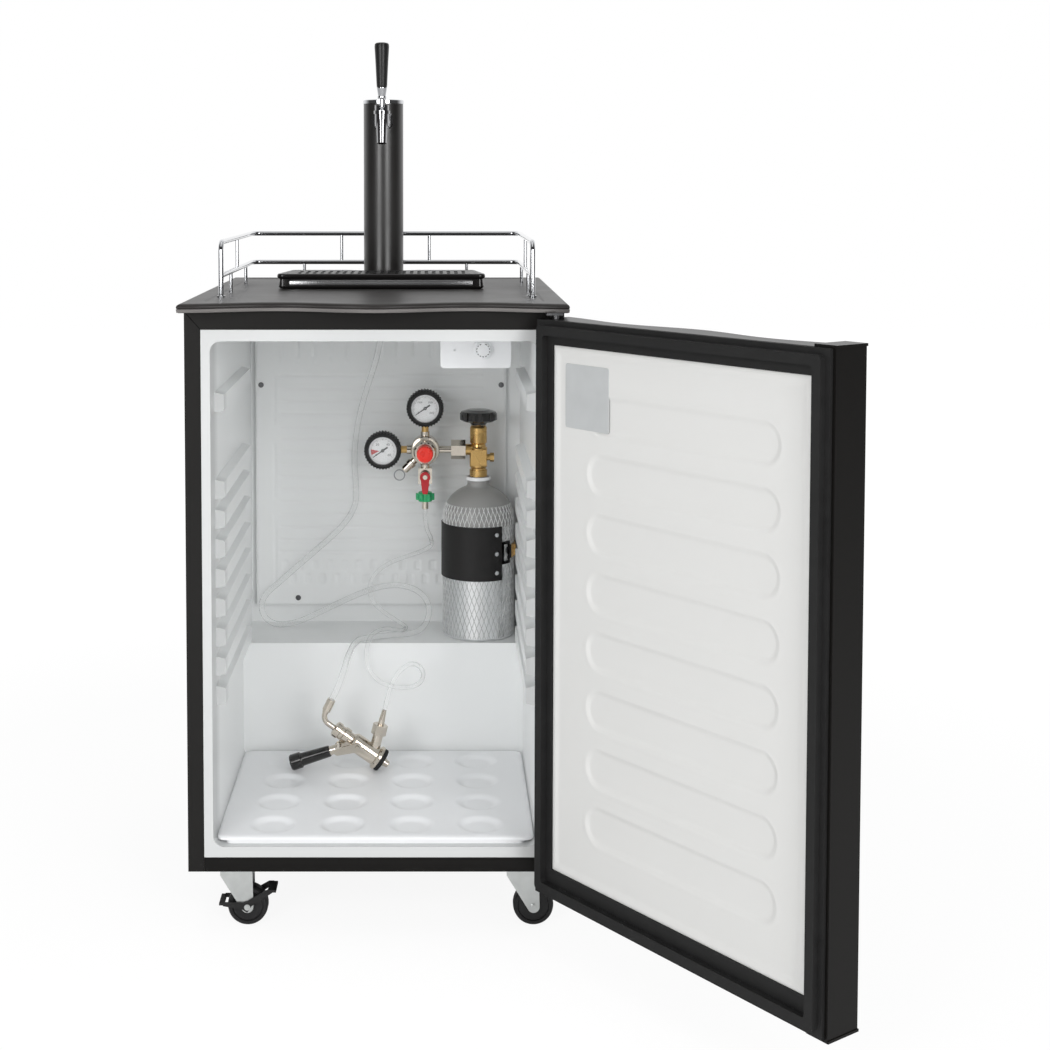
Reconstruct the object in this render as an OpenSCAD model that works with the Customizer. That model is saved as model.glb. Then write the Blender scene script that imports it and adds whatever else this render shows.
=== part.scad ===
// Draft beer cooler: an insulated cabinet on casters with its door open, a beer tower with a faucet,
// a gas cylinder with its regulator, and a keg coupler lying on the floor plate.
// Origin on the floor under the middle of the cabinet, +X to the right, +Y to the back, +Z up.

/* [Cabinet] */
// Width of the cabinet
cab_w = 490; // [480:1:510]
// Depth of the cabinet
cab_d = 540; // [530:1:560]
// Height of the cabinet between casters and worktop
cab_h = 737; // [730:1:760]
// Thickness of the steel sheet
sheet = 1; // [0.8:0.1:1.4]
// Width of the black front frame at each side
frame_side = 21; // [19:0.5:24]
// Height of the black front frame at the top
frame_top = 24; // [20:0.5:28]
// Height of the black cross rail at the bottom
frame_bottom = 19; // [16:0.5:24]

/* [Liner] */
// Thickness of the formed liner
liner_t = 1.5; // [1.2:0.1:2]
// Width of the white lip at each side of the opening
lip_side = 12; // [10:0.5:14]
// Height of the white lip above the opening
lip_top = 15; // [12:0.5:18]
// Height of the white lip below the opening
lip_bottom = 14; // [12:0.5:18]
// Corner radius of the opening
cavity_r = 14; // [10:1:18]
// Depth of the inside from the front plane
cavity_depth = 490; // [480:1:500]
// Distance from the front plane to the compressor hump
hump_at = 360; // [352:1:368]
// Height of the hump above the inside floor
hump_h = 173; // [165:1:178]
// Foam between the hump and the compressor space
hump_wall = 36; // [30:1:40]
// Number of evenly spaced shelf rails on each side
rail_count = 8; // [4:1:8]
// Distance between neighbouring shelf rails
rail_pitch = 39.5; // [36:0.5:40]
// Height of a shelf rail
rail_h = 27; // [20:1:30]
// How far a shelf rail stands out of the wall
rail_out = 12.5; // [9:0.5:14]
// Height of the lowest shelf rail's middle above the inside floor
rail_low = 187.5; // [180:0.5:195]
// Height of the separate upper shelf rail's middle above the inside floor
rail_high = 580; // [570:1:590]

/* [Inside] */
// Gap between the evaporator plate and the left wall
evap_left = 8; // [4:1:20]
// Gap between the evaporator plate and the right wall
evap_right = 22; // [4:1:30]
// Height of the evaporator plate
evap_h = 450; // [430:1:470]
// How far the evaporator plate stands off the rear wall
evap_stand = 12; // [10:0.5:14]
// Width of the thermostat housing
thermostat_w = 97; // [90:1:110]
// Height of the thermostat housing
thermostat_h = 51; // [46:1:56]
// Diameter of the thermostat knob
dial_d = 28; // [24:1:34]
// Thickness of the floor plate
plate_t = 10.5; // [9.5:0.5:13]
// Gap between the floor plate and the walls
plate_gap = 3.5; // [2.5:0.5:6]
// Diameter of a bottle recess in the floor plate
dish_d = 62; // [50:1:70]
// Depth of a bottle recess
dish_depth = 4.5; // [3:0.5:6]

/* [Worktop] */
// Width of the worktop
top_w = 498; // [492:1:506]
// Thickness of the worktop
top_t = 12; // [10:0.5:16]
// Mean overhang of the wavy front edge
top_front = 25; // [22:1:30]
// Swing of the wavy front edge about its mean
top_wave = 15; // [8:1:16]
// Overhang behind the cabinet
top_rear = 35; // [30:1:45]

/* [Guard rail] */
// Diameter of the rails
rail_tube = 7; // [6:0.5:8]
// Diameter of the short posts
post_tube = 5; // [4:0.5:6]
// Distance between the side rails
guard_w = 420; // [400:1:440]
// Distance from the front plane to the front posts
guard_front = 106; // [95:1:120]
// Distance from the front plane to the rear run
guard_rear = 505; // [490:1:520]
// Height of the upper rail above the worktop
guard_high = 73; // [65:1:85]
// Height of the lower rail above the worktop
guard_low = 28; // [24:1:36]

/* [Tower] */
// Diameter of the tower
tower_d = 60; // [56:1:64]
// Wall of the tower
tower_wall = 3; // [2:0.5:4]
// Height of the tower with its cap
tower_h = 278; // [260:1:320]
// Distance from the front plane to the tower's axis
tower_at = 410; // [405:1:415]
// Height of the chrome cap
cap_h = 6; // [5:0.5:9]
// Distance from the tower's top down to the faucet's axis
shank_drop = 32; // [28:1:40]
// Radius of the faucet's coupling nut
faucet_nut_r = 15.5; // [14:0.5:17]
// Length of the spout
spout_l = 36; // [30:1:44]
// Bore of the spout
spout_bore = 9; // [7:0.5:10]
// Length of the tap grip
grip_l = 66; // [55:1:90]

/* [Drip tray] */
// Width of the drip tray at its front
tray_w = 303; // [280:1:320]
// Width of the drip tray at its rear
tray_rear_w = 280; // [260:1:300]
// Depth of the drip tray
tray_d = 112; // [100:1:114]
// Height of the drip tray
tray_h = 22; // [18:1:26]
// Wall of the drip tray
tray_wall = 3; // [2:0.5:4]

/* [Door] */
// Width of the door
door_w = 486; // [480:1:490]
// Mean thickness of the door
door_t = 40; // [38:1:46]
// Swing of the wavy door front about its mean
door_wave = 8; // [4:1:9]
// How far the door reaches below the cabinet
door_drop = 11; // [9:1:13]
// Thickness of the gasket when the door is shut
gasket_t = 11.5; // [10:0.5:14]
// Width of the white inner panel
panel_w = 424; // [410:1:430]
// Distance from the door's bottom to the inner panel
panel_low = 38; // [34:1:42]
// Distance from the door's top to the inner panel
panel_high = 31; // [28:1:36]
// Number of pressed fields in the inner panel
field_count = 8; // [5:1:9]
// Depth of the full-length finger recess at the free edge
pull_depth = 24; // [20:1:26]
// Width of the full-length finger recess
pull_w = 26; // [22:1:30]
// Opening angle of the door as shown
door_open = 126; // [126:1:126]

/* [Gas cylinder] */
// Diameter of the gas cylinder
cyl_d = 109; // [100:1:112]
// Height of the cylinder's straight wall
cyl_wall_h = 181; // [170:1:195]
// Height of the cylinder's shoulder and neck
cyl_neck_h = 64; // [60:1:72]
// Height of the strap
strap_h = 82; // [60:1:100]
// Thickness of the strap
strap_t = 2.5; // [2:0.5:4]

/* [Regulator] */
// Radius of the regulator body
reg_r = 22; // [20:0.5:24]
// Distance from the regulator's axis to each gauge's axis
gauge_reach = 65; // [62:1:72]
// Diameter of a gauge case
gauge_d = 48; // [44:1:50]
// Thickness of a gauge's rubber boot
boot_t = 3; // [2:0.5:4]

/* [Coupler] */
// Radius of the coupler's body
coupler_r = 13.5; // [12:0.5:15]
// Radius of the coupler's rubber seal
seal_r = 17; // [16:0.5:20]
// Radius of the coupler's sliding probe
probe_r = 6; // [5:0.5:7]

/* [Casters] */
// Height of a caster under the cabinet
caster_h = 90; // [86:1:100]
// Diameter of a wheel
wheel_d = 54; // [50:1:56]
// Width of a wheel
wheel_w = 20; // [16:1:22]
// Distance from the swivel axis to the wheel's axle
trail = 19; // [16:1:21]

/* [Hidden] */
$fn = 48;

// Clearances
run = 0.3;
seam = 0.2;
eps = 1;

// Cabinet planes
y_front = -cab_d / 2;
y_back = cab_d / 2;
z_base = caster_h;
z_roof = z_base + cab_h;
z_top = z_roof + top_t;
inner_w = cab_w - 2 * sheet;
win_w = cab_w - 2 * frame_side;
win_z0 = z_base + frame_bottom;
win_z1 = z_roof - frame_top;
cav_w = win_w - 2 * lip_side;
cav_z0 = win_z0 + lip_bottom;
cav_z1 = win_z1 - lip_top;
cav_y1 = y_front + cavity_depth;
hump_y = y_front + hump_at;
hump_z = cav_z0 + hump_h;
rail_y0 = y_front + 45;
rail_y1 = hump_y + 4;
rail_zs = concat([for (i = [0:rail_count - 1]) cav_z0 + rail_low + i * rail_pitch], [cav_z0 + rail_high]);
niche_w = cav_w;
niche_y = hump_y + liner_t + hump_wall;
niche_z = hump_z - liner_t - hump_wall;

// Inside planes
plate_top = cav_z0 + plate_t;
plate_w = cav_w - 2 * plate_gap;
plate_y0 = y_front + 9;
plate_y1 = hump_y - 7;
plate_foot_h = plate_t - dish_depth - 0.5;
evap_w = cav_w - evap_left - evap_right;
evap_x = (evap_left - evap_right) / 2;
evap_y = cav_y1 - evap_stand;
evap_z1 = cav_z1 - 13;
evap_z0 = evap_z1 - evap_h;
evap_sheet = 1.5;
screw_spots = [[evap_x - evap_w / 2 + 9, evap_z1 - 100], [evap_x + evap_w / 2 - 8, evap_z1 - 100],
    [evap_x - evap_w / 2 + 66, evap_z0 + 12], [evap_x + evap_w / 2 - 66, evap_z0 + 12]];
thermostat_gap = 29;
thermostat_x = cav_w / 2 - thermostat_gap - thermostat_w / 2;
thermostat_y = y_front + 150;
thermostat_z0 = cav_z1 - thermostat_h;
dial_x = thermostat_x + 10;
dial_z = thermostat_z0 + thermostat_h / 2;
dial_shaft_r = 3;

// Worktop and tower planes
field_drop = 1;
z_field = z_top - field_drop;
tower_y = y_front + tower_at;
tower_r = tower_d / 2;
z_tower = z_field + field_drop + tower_h;
shank_z = z_tower - shank_drop;
shank_r = 7.5;
line_hole_r = 14;
beer_r = 4.5;
gas_r = 3.25;
nose_y = tower_y - tower_r;
body_y = nose_y - 42;
lever_z = shank_z + 13;
ball_r = 6.6;
pivot_pin_r = 1.6;
ferrule_z = lever_z + 17;
grip_z = ferrule_z + 17;

// Drip tray planes
tray_y1 = tower_y - 16;
tray_y0 = tray_y1 - tray_d;
tray_cut_r = 91;
tray_cut_y = nose_y - 3 + tray_cut_r;
tray_z = z_field + run;

// Door planes, with the door shut
hinge_x = door_w / 2 - 11;
hinge_y = y_front - 30;
hinge_pin_r = 4;
door_z0 = z_base - door_drop;
door_z1 = z_roof - 7;
door_in = y_front - gasket_t - 0.5;
panel_z0 = door_z0 + panel_low;
panel_z1 = door_z1 - panel_high;
panel_t = 2;
edge_x = -door_w / 2;
handle_t = 4;
pull_y = door_in - door_t - door_wave + pull_depth;

// Gas side planes
cyl_gap = 12.5;
cyl_r = cyl_d / 2;
cyl_x = cav_w / 2 - cyl_gap - cyl_r;
cyl_y = y_front + 420;
cyl_z = hump_z;
cyl_top = cyl_z + cyl_wall_h + cyl_neck_h;
valve_r = 13.5;
outlet_z = cyl_top + 41;
outlet_r = 8.5;
stem_z = cyl_top + 80;
stem_r = 4;
strap_z = cyl_z + 93;
strap_r = cyl_r + strap_t;
reg_x = cyl_x - 82;
reg_z = outlet_z;
gauge_r = gauge_d / 2;
gauge_back = cyl_y + 10;
gauge_front = cyl_y - 17;
dial_y = cyl_y - 11;
needle_pin_r = 0.8;
shut_z = reg_z - 40;
shut_y = cyl_y - 12;
nut_z = shut_z - 33;

// Coupler: its own axis runs up from the seal, leaning to the left
lean = 55;
coupler_x = 1.5;
coupler_y = -7;
coupler_z = plate_top + seal_r * sin(lean) + run;
pivot_l = 44;
crossbar = [-22, 64];
grip_tilt = 37.6;
gas_tilt = 20.7;
gas_l = 16.8;

// Caster planes
bracket_side = 10;
caster_plate = 58;
caster_x = min(cab_w / 2 - 54, hinge_x - bracket_side - caster_plate / 2 - 2);
caster_y = cab_d / 2 - 50;
wheel_r = wheel_d / 2;
axle_r = 4;
king_r = 4;
fork_z = caster_h - 8;
fork_t = 2.5;
leg_gap = wheel_w / 2 + 1.5;

// Routes of the two hoses, from the far end to the coupler
// A point left of the bend follows the left wall
wall_bend = -100;
wall_near = 17.5;
function near_wall(x) = x < wall_bend ? wall_bend + (x - wall_bend) * (cav_w / 2 - wall_near + wall_bend)
    / 94.5 : x;
function over_hump(points) = [for (p = points) [near_wall(p[0]), y_front + p[1], hump_z + p[2]]];
function from_coupler(points) = [for (p = points) [coupler_x + p[0], coupler_y + p[1], coupler_z + p[2]]];
beer_top = [[0, tower_y, shank_z - 19.3], [0, tower_y, z_top + 161], [0, tower_y, z_top + 81],
    [0, tower_y, z_top + 11]];
// Place from the left or right, the front plane and the hump's top
beer_middle = [[-1, 411, 494], [-5, 416, 459], [-12, 427, 426], [-22, 440, 394], [-33, 452, 359],
    [-42, 461, 322], [-47, 466, 286], [-48, 469, 252], [-46, 469, 220], [-47, 468, 194], [-58, 467.5, 170],
    [-79, 467, 146], [-108, 467, 120], [-138, 467, 94], [-165, 467, 70], [-187, 466, 50],
    [-194.5, 464, 32], [-189, 460, 15], [-174, 455, 5.7], [-154, 453, 5.2], [-130, 455, 11],
    [-104, 460, 22], [-74, 466, 35], [-42, 469, 49], [-10, 469, 60], [18, 466, 64], [43, 460, 60],
    [61, 448, 50], [69, 431, 35], [65, 413, 19], [52, 401, 8], [30, 394, 4.8], [4, 386, 4.8],
    [-22, 374, 4.8], [-36, 362, 5], [-44, 344, 2], [-48, 324, -2], [-52, 302, -8]];
// Place from the coupler's foot
beer_end = [[-56.5, 19, 131.2744], [-61, 6, 119.2744], [-66.8, 0.5, 105.4744], [-73.9, 0, 91.1744]];
beer_route = concat(beer_top, over_hump(beer_middle), from_coupler(beer_end));
// Place from the shutoff valve's nut
gas_drop = [[0, 0, -19.3], [0, 0, -33], [3, 3, -52], [9, 14, -69], [9, 31, -83], [-5, 43, -94]];
// Place from the left or right, the front plane and the hump's top
gas_middle = [[34, 465, 110], [8, 464, 100], [-14, 460, 85], [-24, 457, 64], [-20, 455, 42], [-3, 453, 25],
    [18, 449, 12], [32, 438, 5], [30, 423, 4], [18, 409, 7.5], [5, 396, 12.8], [-8, 381, 13.8],
    [-18, 366, 10.5], [-23, 353, 1.5]];
// Place from the coupler's foot
gas_end = [[-26.5, 80, 133.2744], [-21.5, 73, 114.2744], [-6.5, 68, 98.2744], [16.5, 63, 91.2744],
    [38.5, 55, 93.2744], [54.5, 45, 103.2744], [59.5, 31, 120.2744], [52.5, 17, 136.2744],
    [38.5, 6, 141.2744], [22.5, 1, 129.2744], [12.5, 0, 110.2744], [7, 0, 91.2744], [3.2, 0, 76.2744]];
gas_route = concat([for (p = gas_drop) [reg_x + p[0], cyl_y + p[1], nut_z + p[2]]], over_hump(gas_middle),
    from_coupler(gas_end));

// Rounded rectangle about the middle
module round_rect(w, h, r) {
    square([w - 2 * r, h], center = true);
    square([w, h - 2 * r], center = true);
    for (x = [-1, 1], y = [-1, 1]) translate([x * (w / 2 - r), y * (h / 2 - r)]) circle(r);
}

// Block between two corners
module block(low, high) {
    translate(low) cube(high - low);
}

// Flat outline in x and z, run along y
module along_y(y0, y1) {
    translate([0, y1, 0]) rotate([90, 0, 0]) linear_extrude(y1 - y0) children();
}

// Flat outline in y and z, run along x
module along_x(x0, x1) {
    translate([x0, 0, 0]) rotate([90, 0, 90]) linear_extrude(x1 - x0) children();
}

// Round bar along y, starting at y0
module bar_y(x, y0, y1, z, r) {
    translate([x, y0, z]) rotate([-90, 0, 0]) cylinder(h = y1 - y0, r = r);
}

// Round bar along x, starting at x0
module bar_x(x0, x1, y, z, r) {
    translate([x0, y, z]) rotate([0, 90, 0]) cylinder(h = x1 - x0, r = r);
}

// Round tube bend in the plane of x and y
module bend(radius, tube_r, from, sweep) {
    rotate([0, 0, from]) rotate_extrude(angle = sweep) translate([radius, 0]) circle(tube_r);
}

function unit(v) = v / norm(v);
function side_way(d) = unit(cross(d, abs(d[0]) < 0.9 ? [1, 0, 0] : [0, 1, 0]));

// Direction of a route at one of its points
function heading(route, i) =
    let (n = len(route) - 1)
    i == 0 ? unit(route[1] - route[0])
    : i == n ? unit(route[n] - route[n - 1])
    : unit(unit(route[i + 1] - route[i]) + unit(route[i] - route[i - 1]));

// Side direction carried along a route without twist
function carried(route, i) =
    i == 0 ? side_way(heading(route, 0))
    : let (s = carried(route, i - 1), d = heading(route, i)) unit(s - d * (s * d));

// Closed hose along a route, one ring of corners at each point
module hose(route, r, sides) {
    n = len(route);
    corners = [for (i = [0:n - 1])
        let (d = heading(route, i), a = carried(route, i), b = cross(d, a))
        for (k = [0:sides - 1]) route[i] + r * (cos(360 * k / sides) * a + sin(360 * k / sides) * b)];
    walls = [for (i = [0:n - 2], k = [0:sides - 1], half = [0, 1])
        let (m = (k + 1) % sides, here = i * sides, next = here + sides)
        half == 0 ? [here + k, next + k, next + m] : [here + k, next + m, here + m]];
    ends = [for (k = [1:sides - 2], last = [0, 1])
        let (base = (n - 1) * sides)
        last == 0 ? [0, k, k + 1] : [base, base + k + 1, base + k]];
    polyhedron(corners, concat(walls, ends));
}

// Room inside the liner, with every wall moved outwards by grow
module cavity(grow, y0) {
    difference() {
        along_y(y0, cav_y1 + grow) translate([0, (cav_z0 + cav_z1) / 2])
            round_rect(cav_w + 2 * grow, cav_z1 - cav_z0 + 2 * grow, cavity_r + grow);
        block([-cab_w, hump_y + grow, 0], [cab_w, y_back, hump_z - grow]);
        for (side = [-1, 1], z = rail_zs) shelf_rail(side, z, grow);
    }
}

// One shelf rail, thinner by grow on every free side
module shelf_rail(side, z, grow) {
    root = cav_w / 2 + grow + eps;
    tip = cav_w / 2 - rail_out + grow;
    half = rail_h / 2 - grow;
    along_y(rail_y0 + grow, rail_y1 - grow) translate([0, z])
        polygon([[side * root, -half], [side * tip, 3 - half], [side * tip, half - 3], [side * root, half]]);
}

// Hole for the beer line from the tower down to the inside
module line_hole() {
    translate([0, tower_y, cav_z1 - 20]) cylinder(h = z_top + 20 - cav_z1 + 20, r = line_hole_r);
}

module cabinet_shell() color("#1c1a19") difference() {
    block([-cab_w / 2, y_front, z_base], [cab_w / 2, y_back, z_roof]);
    block([-inner_w / 2, y_front + sheet, z_base - eps], [inner_w / 2, y_back + eps, z_roof - sheet]);
    block([-win_w / 2, y_front - eps, z_base - eps], [win_w / 2, y_front + sheet + eps, win_z1]);
    line_hole();
}

module base_pan() color("#1d1b1a") {
    rail_w = win_w / 2 - seam;
    difference() {
        union() {
            block([-inner_w / 2 + seam, y_front + sheet, z_base],
                [inner_w / 2 - seam, y_back, z_base + sheet]);
            block([-rail_w, y_front, z_base], [rail_w, y_front + sheet, win_z0 - seam]);
            block([-rail_w, y_front, win_z0 - seam - sheet], [rail_w, y_front + liner_t, win_z0 - seam]);
            block([-rail_w, y_front, z_base], [rail_w, y_front + liner_t + eps, z_base + sheet]);
        }
        for (x = [-90:30:90]) translate([x, y_back - 60, z_base - eps]) cylinder(h = sheet + 2 * eps, r = 8);
    }
}

module back_panel() color("#8b8d8f")
    block([-inner_w / 2 + seam, y_back - sheet, niche_z],
        [inner_w / 2 - seam, y_back, z_roof - sheet - seam]);

module cabinet_foam() color("#e8dfb8") difference() {
    block([-inner_w / 2, y_front + liner_t, z_base + sheet], [inner_w / 2, y_back - sheet, z_roof - sheet]);
    cavity(liner_t, y_front - eps);
    block([-niche_w / 2, niche_y, z_base], [niche_w / 2, y_back, niche_z]);
    line_hole();
}

module cabinet_liner() color("#eef1f2") difference() {
    union() {
        cavity(liner_t, y_front);
        along_y(y_front, y_front + liner_t) translate([0, (win_z0 + win_z1) / 2])
            square([win_w - 2 * seam, win_z1 - win_z0 - 2 * seam], center = true);
    }
    cavity(0, y_front - eps);
    line_hole();
}

// Pressed channels of the evaporator plate
channel_count = 15;
flute_count = 13;
dimple_count = 13;
module evaporator_plate() color("#e4e8ea") {
    x0 = evap_x - evap_w / 2;
    x1 = evap_x + evap_w / 2;
    difference() {
        block([x0, evap_y, evap_z0], [x1, cav_y1, evap_z1]);
        block([x0 + evap_sheet, evap_y + evap_sheet, evap_z0 + evap_sheet],
            [x1 - evap_sheet, cav_y1 + eps, evap_z1 - evap_sheet]);
        for (i = [0:channel_count - 1]) let (z = evap_z0 + 84 + i * (evap_h - 150) / channel_count)
            block([x0 + 36, evap_y - eps, z], [x1 - 34, evap_y + 0.6, z + 2.5]);
        for (i = [0:flute_count - 1]) let (x = x0 + 40 + i * (evap_w - 80) / (flute_count - 1))
            block([x - 1.5, evap_y - eps, evap_z1 - 60], [x + 1.5, evap_y + 0.7, evap_z1 - 8]);
        for (i = [0:dimple_count - 1], row = [0, 1])
            let (x = x0 + 46 + (i + row / 2) * (evap_w - 92) / dimple_count, z = evap_z0 + 64 - 22 * row)
                along_y(evap_y - eps, evap_y + 0.6) translate([x, z]) round_rect(8.6, 18, 3.4);
        for (span = [[34, 149], [167, 260], [285, 365]])
            block([x0 + 29, evap_y - eps, evap_z0 + span[0]], [x0 + 31.4, evap_y + 0.7, evap_z0 + span[1]]);
        for (spot = screw_spots) bar_y(spot[0], evap_y - eps, evap_y + 3, spot[1], 2.3);
    }
}

module plate_screws() color("#9a9ca0") for (spot = screw_spots) {
    translate([spot[0], evap_y, spot[1]]) rotate([90, 0, 0])
        rotate_extrude() polygon([[0, 0], [4.2, 0], [4.2, 1], [3, 2.2], [0, 2.6]]);
    bar_y(spot[0], evap_y, cav_y1, spot[1], 2.1);
}

module thermostat_housing() color("#f4f6f7") {
    front = thermostat_y;
    difference() {
        union() {
            along_y(front, front + 130) translate([thermostat_x, thermostat_z0 + thermostat_h / 2])
                round_rect(thermostat_w, thermostat_h, 5);
            along_y(front, front + 130) translate([thermostat_x, cav_z1 - 6])
                square([thermostat_w, 12], center = true);
        }
        bar_y(dial_x, front - eps, front + 16, dial_z, dial_shaft_r + run);
        bar_y(thermostat_x - 29, front - eps, front + 3, dial_z, 1.8);
        for (i = [0:4]) block([thermostat_x - 20 + i * 14, front + 14, thermostat_z0 - eps],
            [thermostat_x - 10 + i * 14, front + 44, thermostat_z0 + 4]);
    }
}

module thermostat_knob() color("#f6f8f9") {
    front = thermostat_y - run;
    difference() {
        union() {
            translate([dial_x, front, dial_z]) rotate([90, 0, 0]) rotate_extrude()
                polygon([[0, 0], [dial_d / 2, 0], [dial_d / 2, 2], [dial_d / 2 - 3, 3.5],
                    [dial_d / 2 - 3.6, 9],
                    [dial_d / 2 - 4.6, 10], [0, 10]]);
            bar_y(dial_x, front - 1, thermostat_y + 14, dial_z, dial_shaft_r);
        }
        block([dial_x - 1, front - 11, dial_z + 1], [dial_x + 1, front - 9.4, dial_z + dial_d / 2]);
    }
}

module floor_plate() color("#f3f5f6") difference() {
    mid_y = (plate_y0 + plate_y1) / 2;
    foot = cavity_r + 1 - plate_gap;
    union() {
        translate([0, mid_y, cav_z0]) linear_extrude(plate_foot_h)
            round_rect(plate_w - 2 * foot, plate_y1 - plate_y0 - 8, 8);
        translate([0, mid_y, cav_z0 + plate_foot_h]) linear_extrude(plate_t - plate_foot_h)
            round_rect(plate_w, plate_y1 - plate_y0, 12);
    }
    for (i = [-1.5:1.5], j = [-1.5:1.5])
        translate([i * plate_w / 4.5, mid_y - 2 + j * (plate_y1 - plate_y0) / 4.1, plate_top - dish_depth])
            cylinder(h = dish_depth + 0.01, r1 = dish_d / 2 - 7, r2 = dish_d / 2);
}

// Outline of the worktop, drawn in by inset
top_steps = 32;
function top_wave_y(x) = y_front - top_front - top_wave * cos(720 * x / top_w);
module top_outline(inset) {
    half = top_w / 2 - inset;
    polygon(concat([for (i = [0:top_steps]) let (x = -half + 2 * half * i / top_steps)
        [x, top_wave_y(x) + inset]],
        [[half, y_back + top_rear - inset], [-half, y_back + top_rear - inset]]));
}

module worktop() color("#2a2624") difference() {
    union() {
        translate([0, 0, z_roof]) linear_extrude(2) top_outline(1.5);
        translate([0, 0, z_roof + 2]) linear_extrude(top_t - 4.5) top_outline(0);
        translate([0, 0, z_top - 2.5]) linear_extrude(1.3) top_outline(0.8);
        translate([0, 0, z_top - 1.2]) linear_extrude(1.2) top_outline(2.4);
    }
    translate([0, 20, z_field]) linear_extrude(field_drop + eps)
        round_rect(top_w - 54, cab_d + 2 * 15 - 40, 14);
    line_hole();
}

// Two-tier chrome rail round three sides of the worktop
guard_bend = 14;
module guard_rail() color("#c9ccd0") {
    gx = guard_w / 2;
    y0 = y_front + guard_front;
    y1 = y_front + guard_rear;
    high = z_top + guard_high;
    low = z_top + guard_low;
    run_y = y1 - guard_bend;
    r = rail_tube / 2;
    p = post_tube / 2;
    for (z = [high, low]) {
        bar_x(-gx + guard_bend, gx - guard_bend, y1, z, r);
        for (side = [-1, 1]) {
            bar_y(side * gx, z == high ? y0 + guard_bend : y0, run_y, z, r);
            translate([side * (gx - guard_bend), run_y, z]) bend(guard_bend, r, side > 0 ? 0 : 90, 90);
        }
    }
    for (side = [-1, 1]) {
        translate([side * gx, y0, z_field]) cylinder(h = high - guard_bend - z_field, r = r);
        translate([side * gx, y0 + guard_bend, high - guard_bend]) rotate([90, 0, 90])
            bend(guard_bend, r, 90, 90);
        translate([side * gx, y0, z_field]) cylinder(h = 2, r = r + 2);
        translate([side * gx, y0 + 190, low]) cylinder(h = high - low, r = p);
        for (back = [112, 303]) translate([side * gx, y0 + back, z_field]) cylinder(h = low - z_field, r = p);
        translate([side * 69, y1, low]) cylinder(h = high - low, r = p);
        translate([side * 128, y1, z_field]) cylinder(h = low - z_field, r = p);
    }
}

module tower_column() color("#24211f") difference() {
    translate([0, tower_y, z_field]) cylinder(h = z_tower - cap_h - z_field, r = tower_r, $fn = 96);
    translate([0, tower_y, z_field - eps]) cylinder(h = tower_h + eps, r = tower_r - tower_wall, $fn = 96);
    bar_y(0, tower_y - tower_d, tower_y, shank_z, shank_r + seam);
}

module tower_cap() color("#cdd0d3") translate([0, tower_y, z_tower - cap_h]) rotate_extrude($fn = 96)
    polygon([[0, -8], [tower_r - tower_wall - seam, -8], [tower_r - tower_wall - seam, 0], [tower_r + 0.8, 0],
        [tower_r + 0.8, cap_h - 1], [tower_r - 0.4, cap_h - 0.2], [0, cap_h]]);

// Shank through the tower wall with its collar and tail, and the faucet body in front of it
spout_tilt = 12;
nut_y = nose_y - 8;
module spout_place() translate([0, body_y - 2, shank_z]) rotate([180 - spout_tilt, 0, 0]) children();
module faucet_body() color("#d3d5d8") {
    bar_y(0, nut_y - 1, tower_y + 6, shank_z, shank_r);
    translate([0, tower_y, shank_z - 19]) cylinder(h = 19, r = beer_r - 0.6);
    difference() {
        bar_y(0, nut_y - 1, nose_y + 6, shank_z, faucet_nut_r + 0.5);
        translate([0, tower_y, shank_z - 60]) cylinder(h = 120, r = tower_r, $fn = 96);
    }
    difference() {
        union() {
            bar_y(0, nut_y - 13, nut_y - 0.5, shank_z, faucet_nut_r);
            bar_y(0, body_y, nut_y - 5, shank_z, 9.5);
            translate([0, body_y, shank_z - 10]) cylinder(h = lever_z - shank_z + 18, r = 10.5);
            translate([0, body_y, lever_z - 5]) cylinder(h = 5, r = 12);
            spout_place() cylinder(h = spout_l, r1 = 8.6, r2 = 7);
        }
        for (a = [0:60:300]) translate([0, nut_y - 6.5, shank_z]) rotate([0, a, 0])
            translate([0, 0, faucet_nut_r]) cube([4, 8, 2.4], center = true);
        spout_place() translate([0, 0, 12]) cylinder(h = spout_l, r = spout_bore / 2);
        translate([0, body_y, lever_z]) sphere(ball_r + run);
        bar_x(-14, 14, body_y, lever_z, pivot_pin_r + run);
        block([-4, body_y - 14, lever_z], [4, body_y + 4, lever_z + 10]);
    }
}

module tap_lever() color("#d3d5d8") translate([0, body_y, 0]) {
    translate([0, 0, lever_z]) sphere(ball_r);
    bar_x(-10, 10, 0, lever_z, pivot_pin_r);
    translate([0, 0, lever_z]) cylinder(h = ferrule_z - lever_z, r = 3.4);
    translate([0, 0, ferrule_z]) rotate_extrude()
        polygon([[0, 0], [5.4, 0], [6.4, 2], [6.4, 4], [5.8, 5], [7.6, 16], [7.6, 17], [4, 17], [4, 35],
            [0, 35]]);
}

module tap_grip() color("#15110f") translate([0, body_y, grip_z]) rotate_extrude()
    polygon([[4, 0], [7.4, 0], [7.8, 3], [9.6, grip_l - 26], [10.8, grip_l - 6], [10.4, grip_l - 2.5],
        [8.8, grip_l - 0.8], [5, grip_l], [0, grip_l], [0, 18], [4, 18]]);

// Outline of the drip tray, drawn in by inset, with the hollow that clears the tower
module tray_outline(inset) difference() {
    r = 9 - min(inset, 6);
    front = tray_w / 2 - inset - r;
    rear = tray_rear_w / 2 - inset - r;
    hull() for (side = [-1, 1]) {
        translate([side * front, tray_y0 + inset + r]) circle(r, $fn = 32);
        translate([side * rear, tray_y1 - inset - r]) circle(r, $fn = 32);
    }
    translate([0, tray_cut_y]) circle(tray_cut_r + inset, $fn = 96);
}

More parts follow.
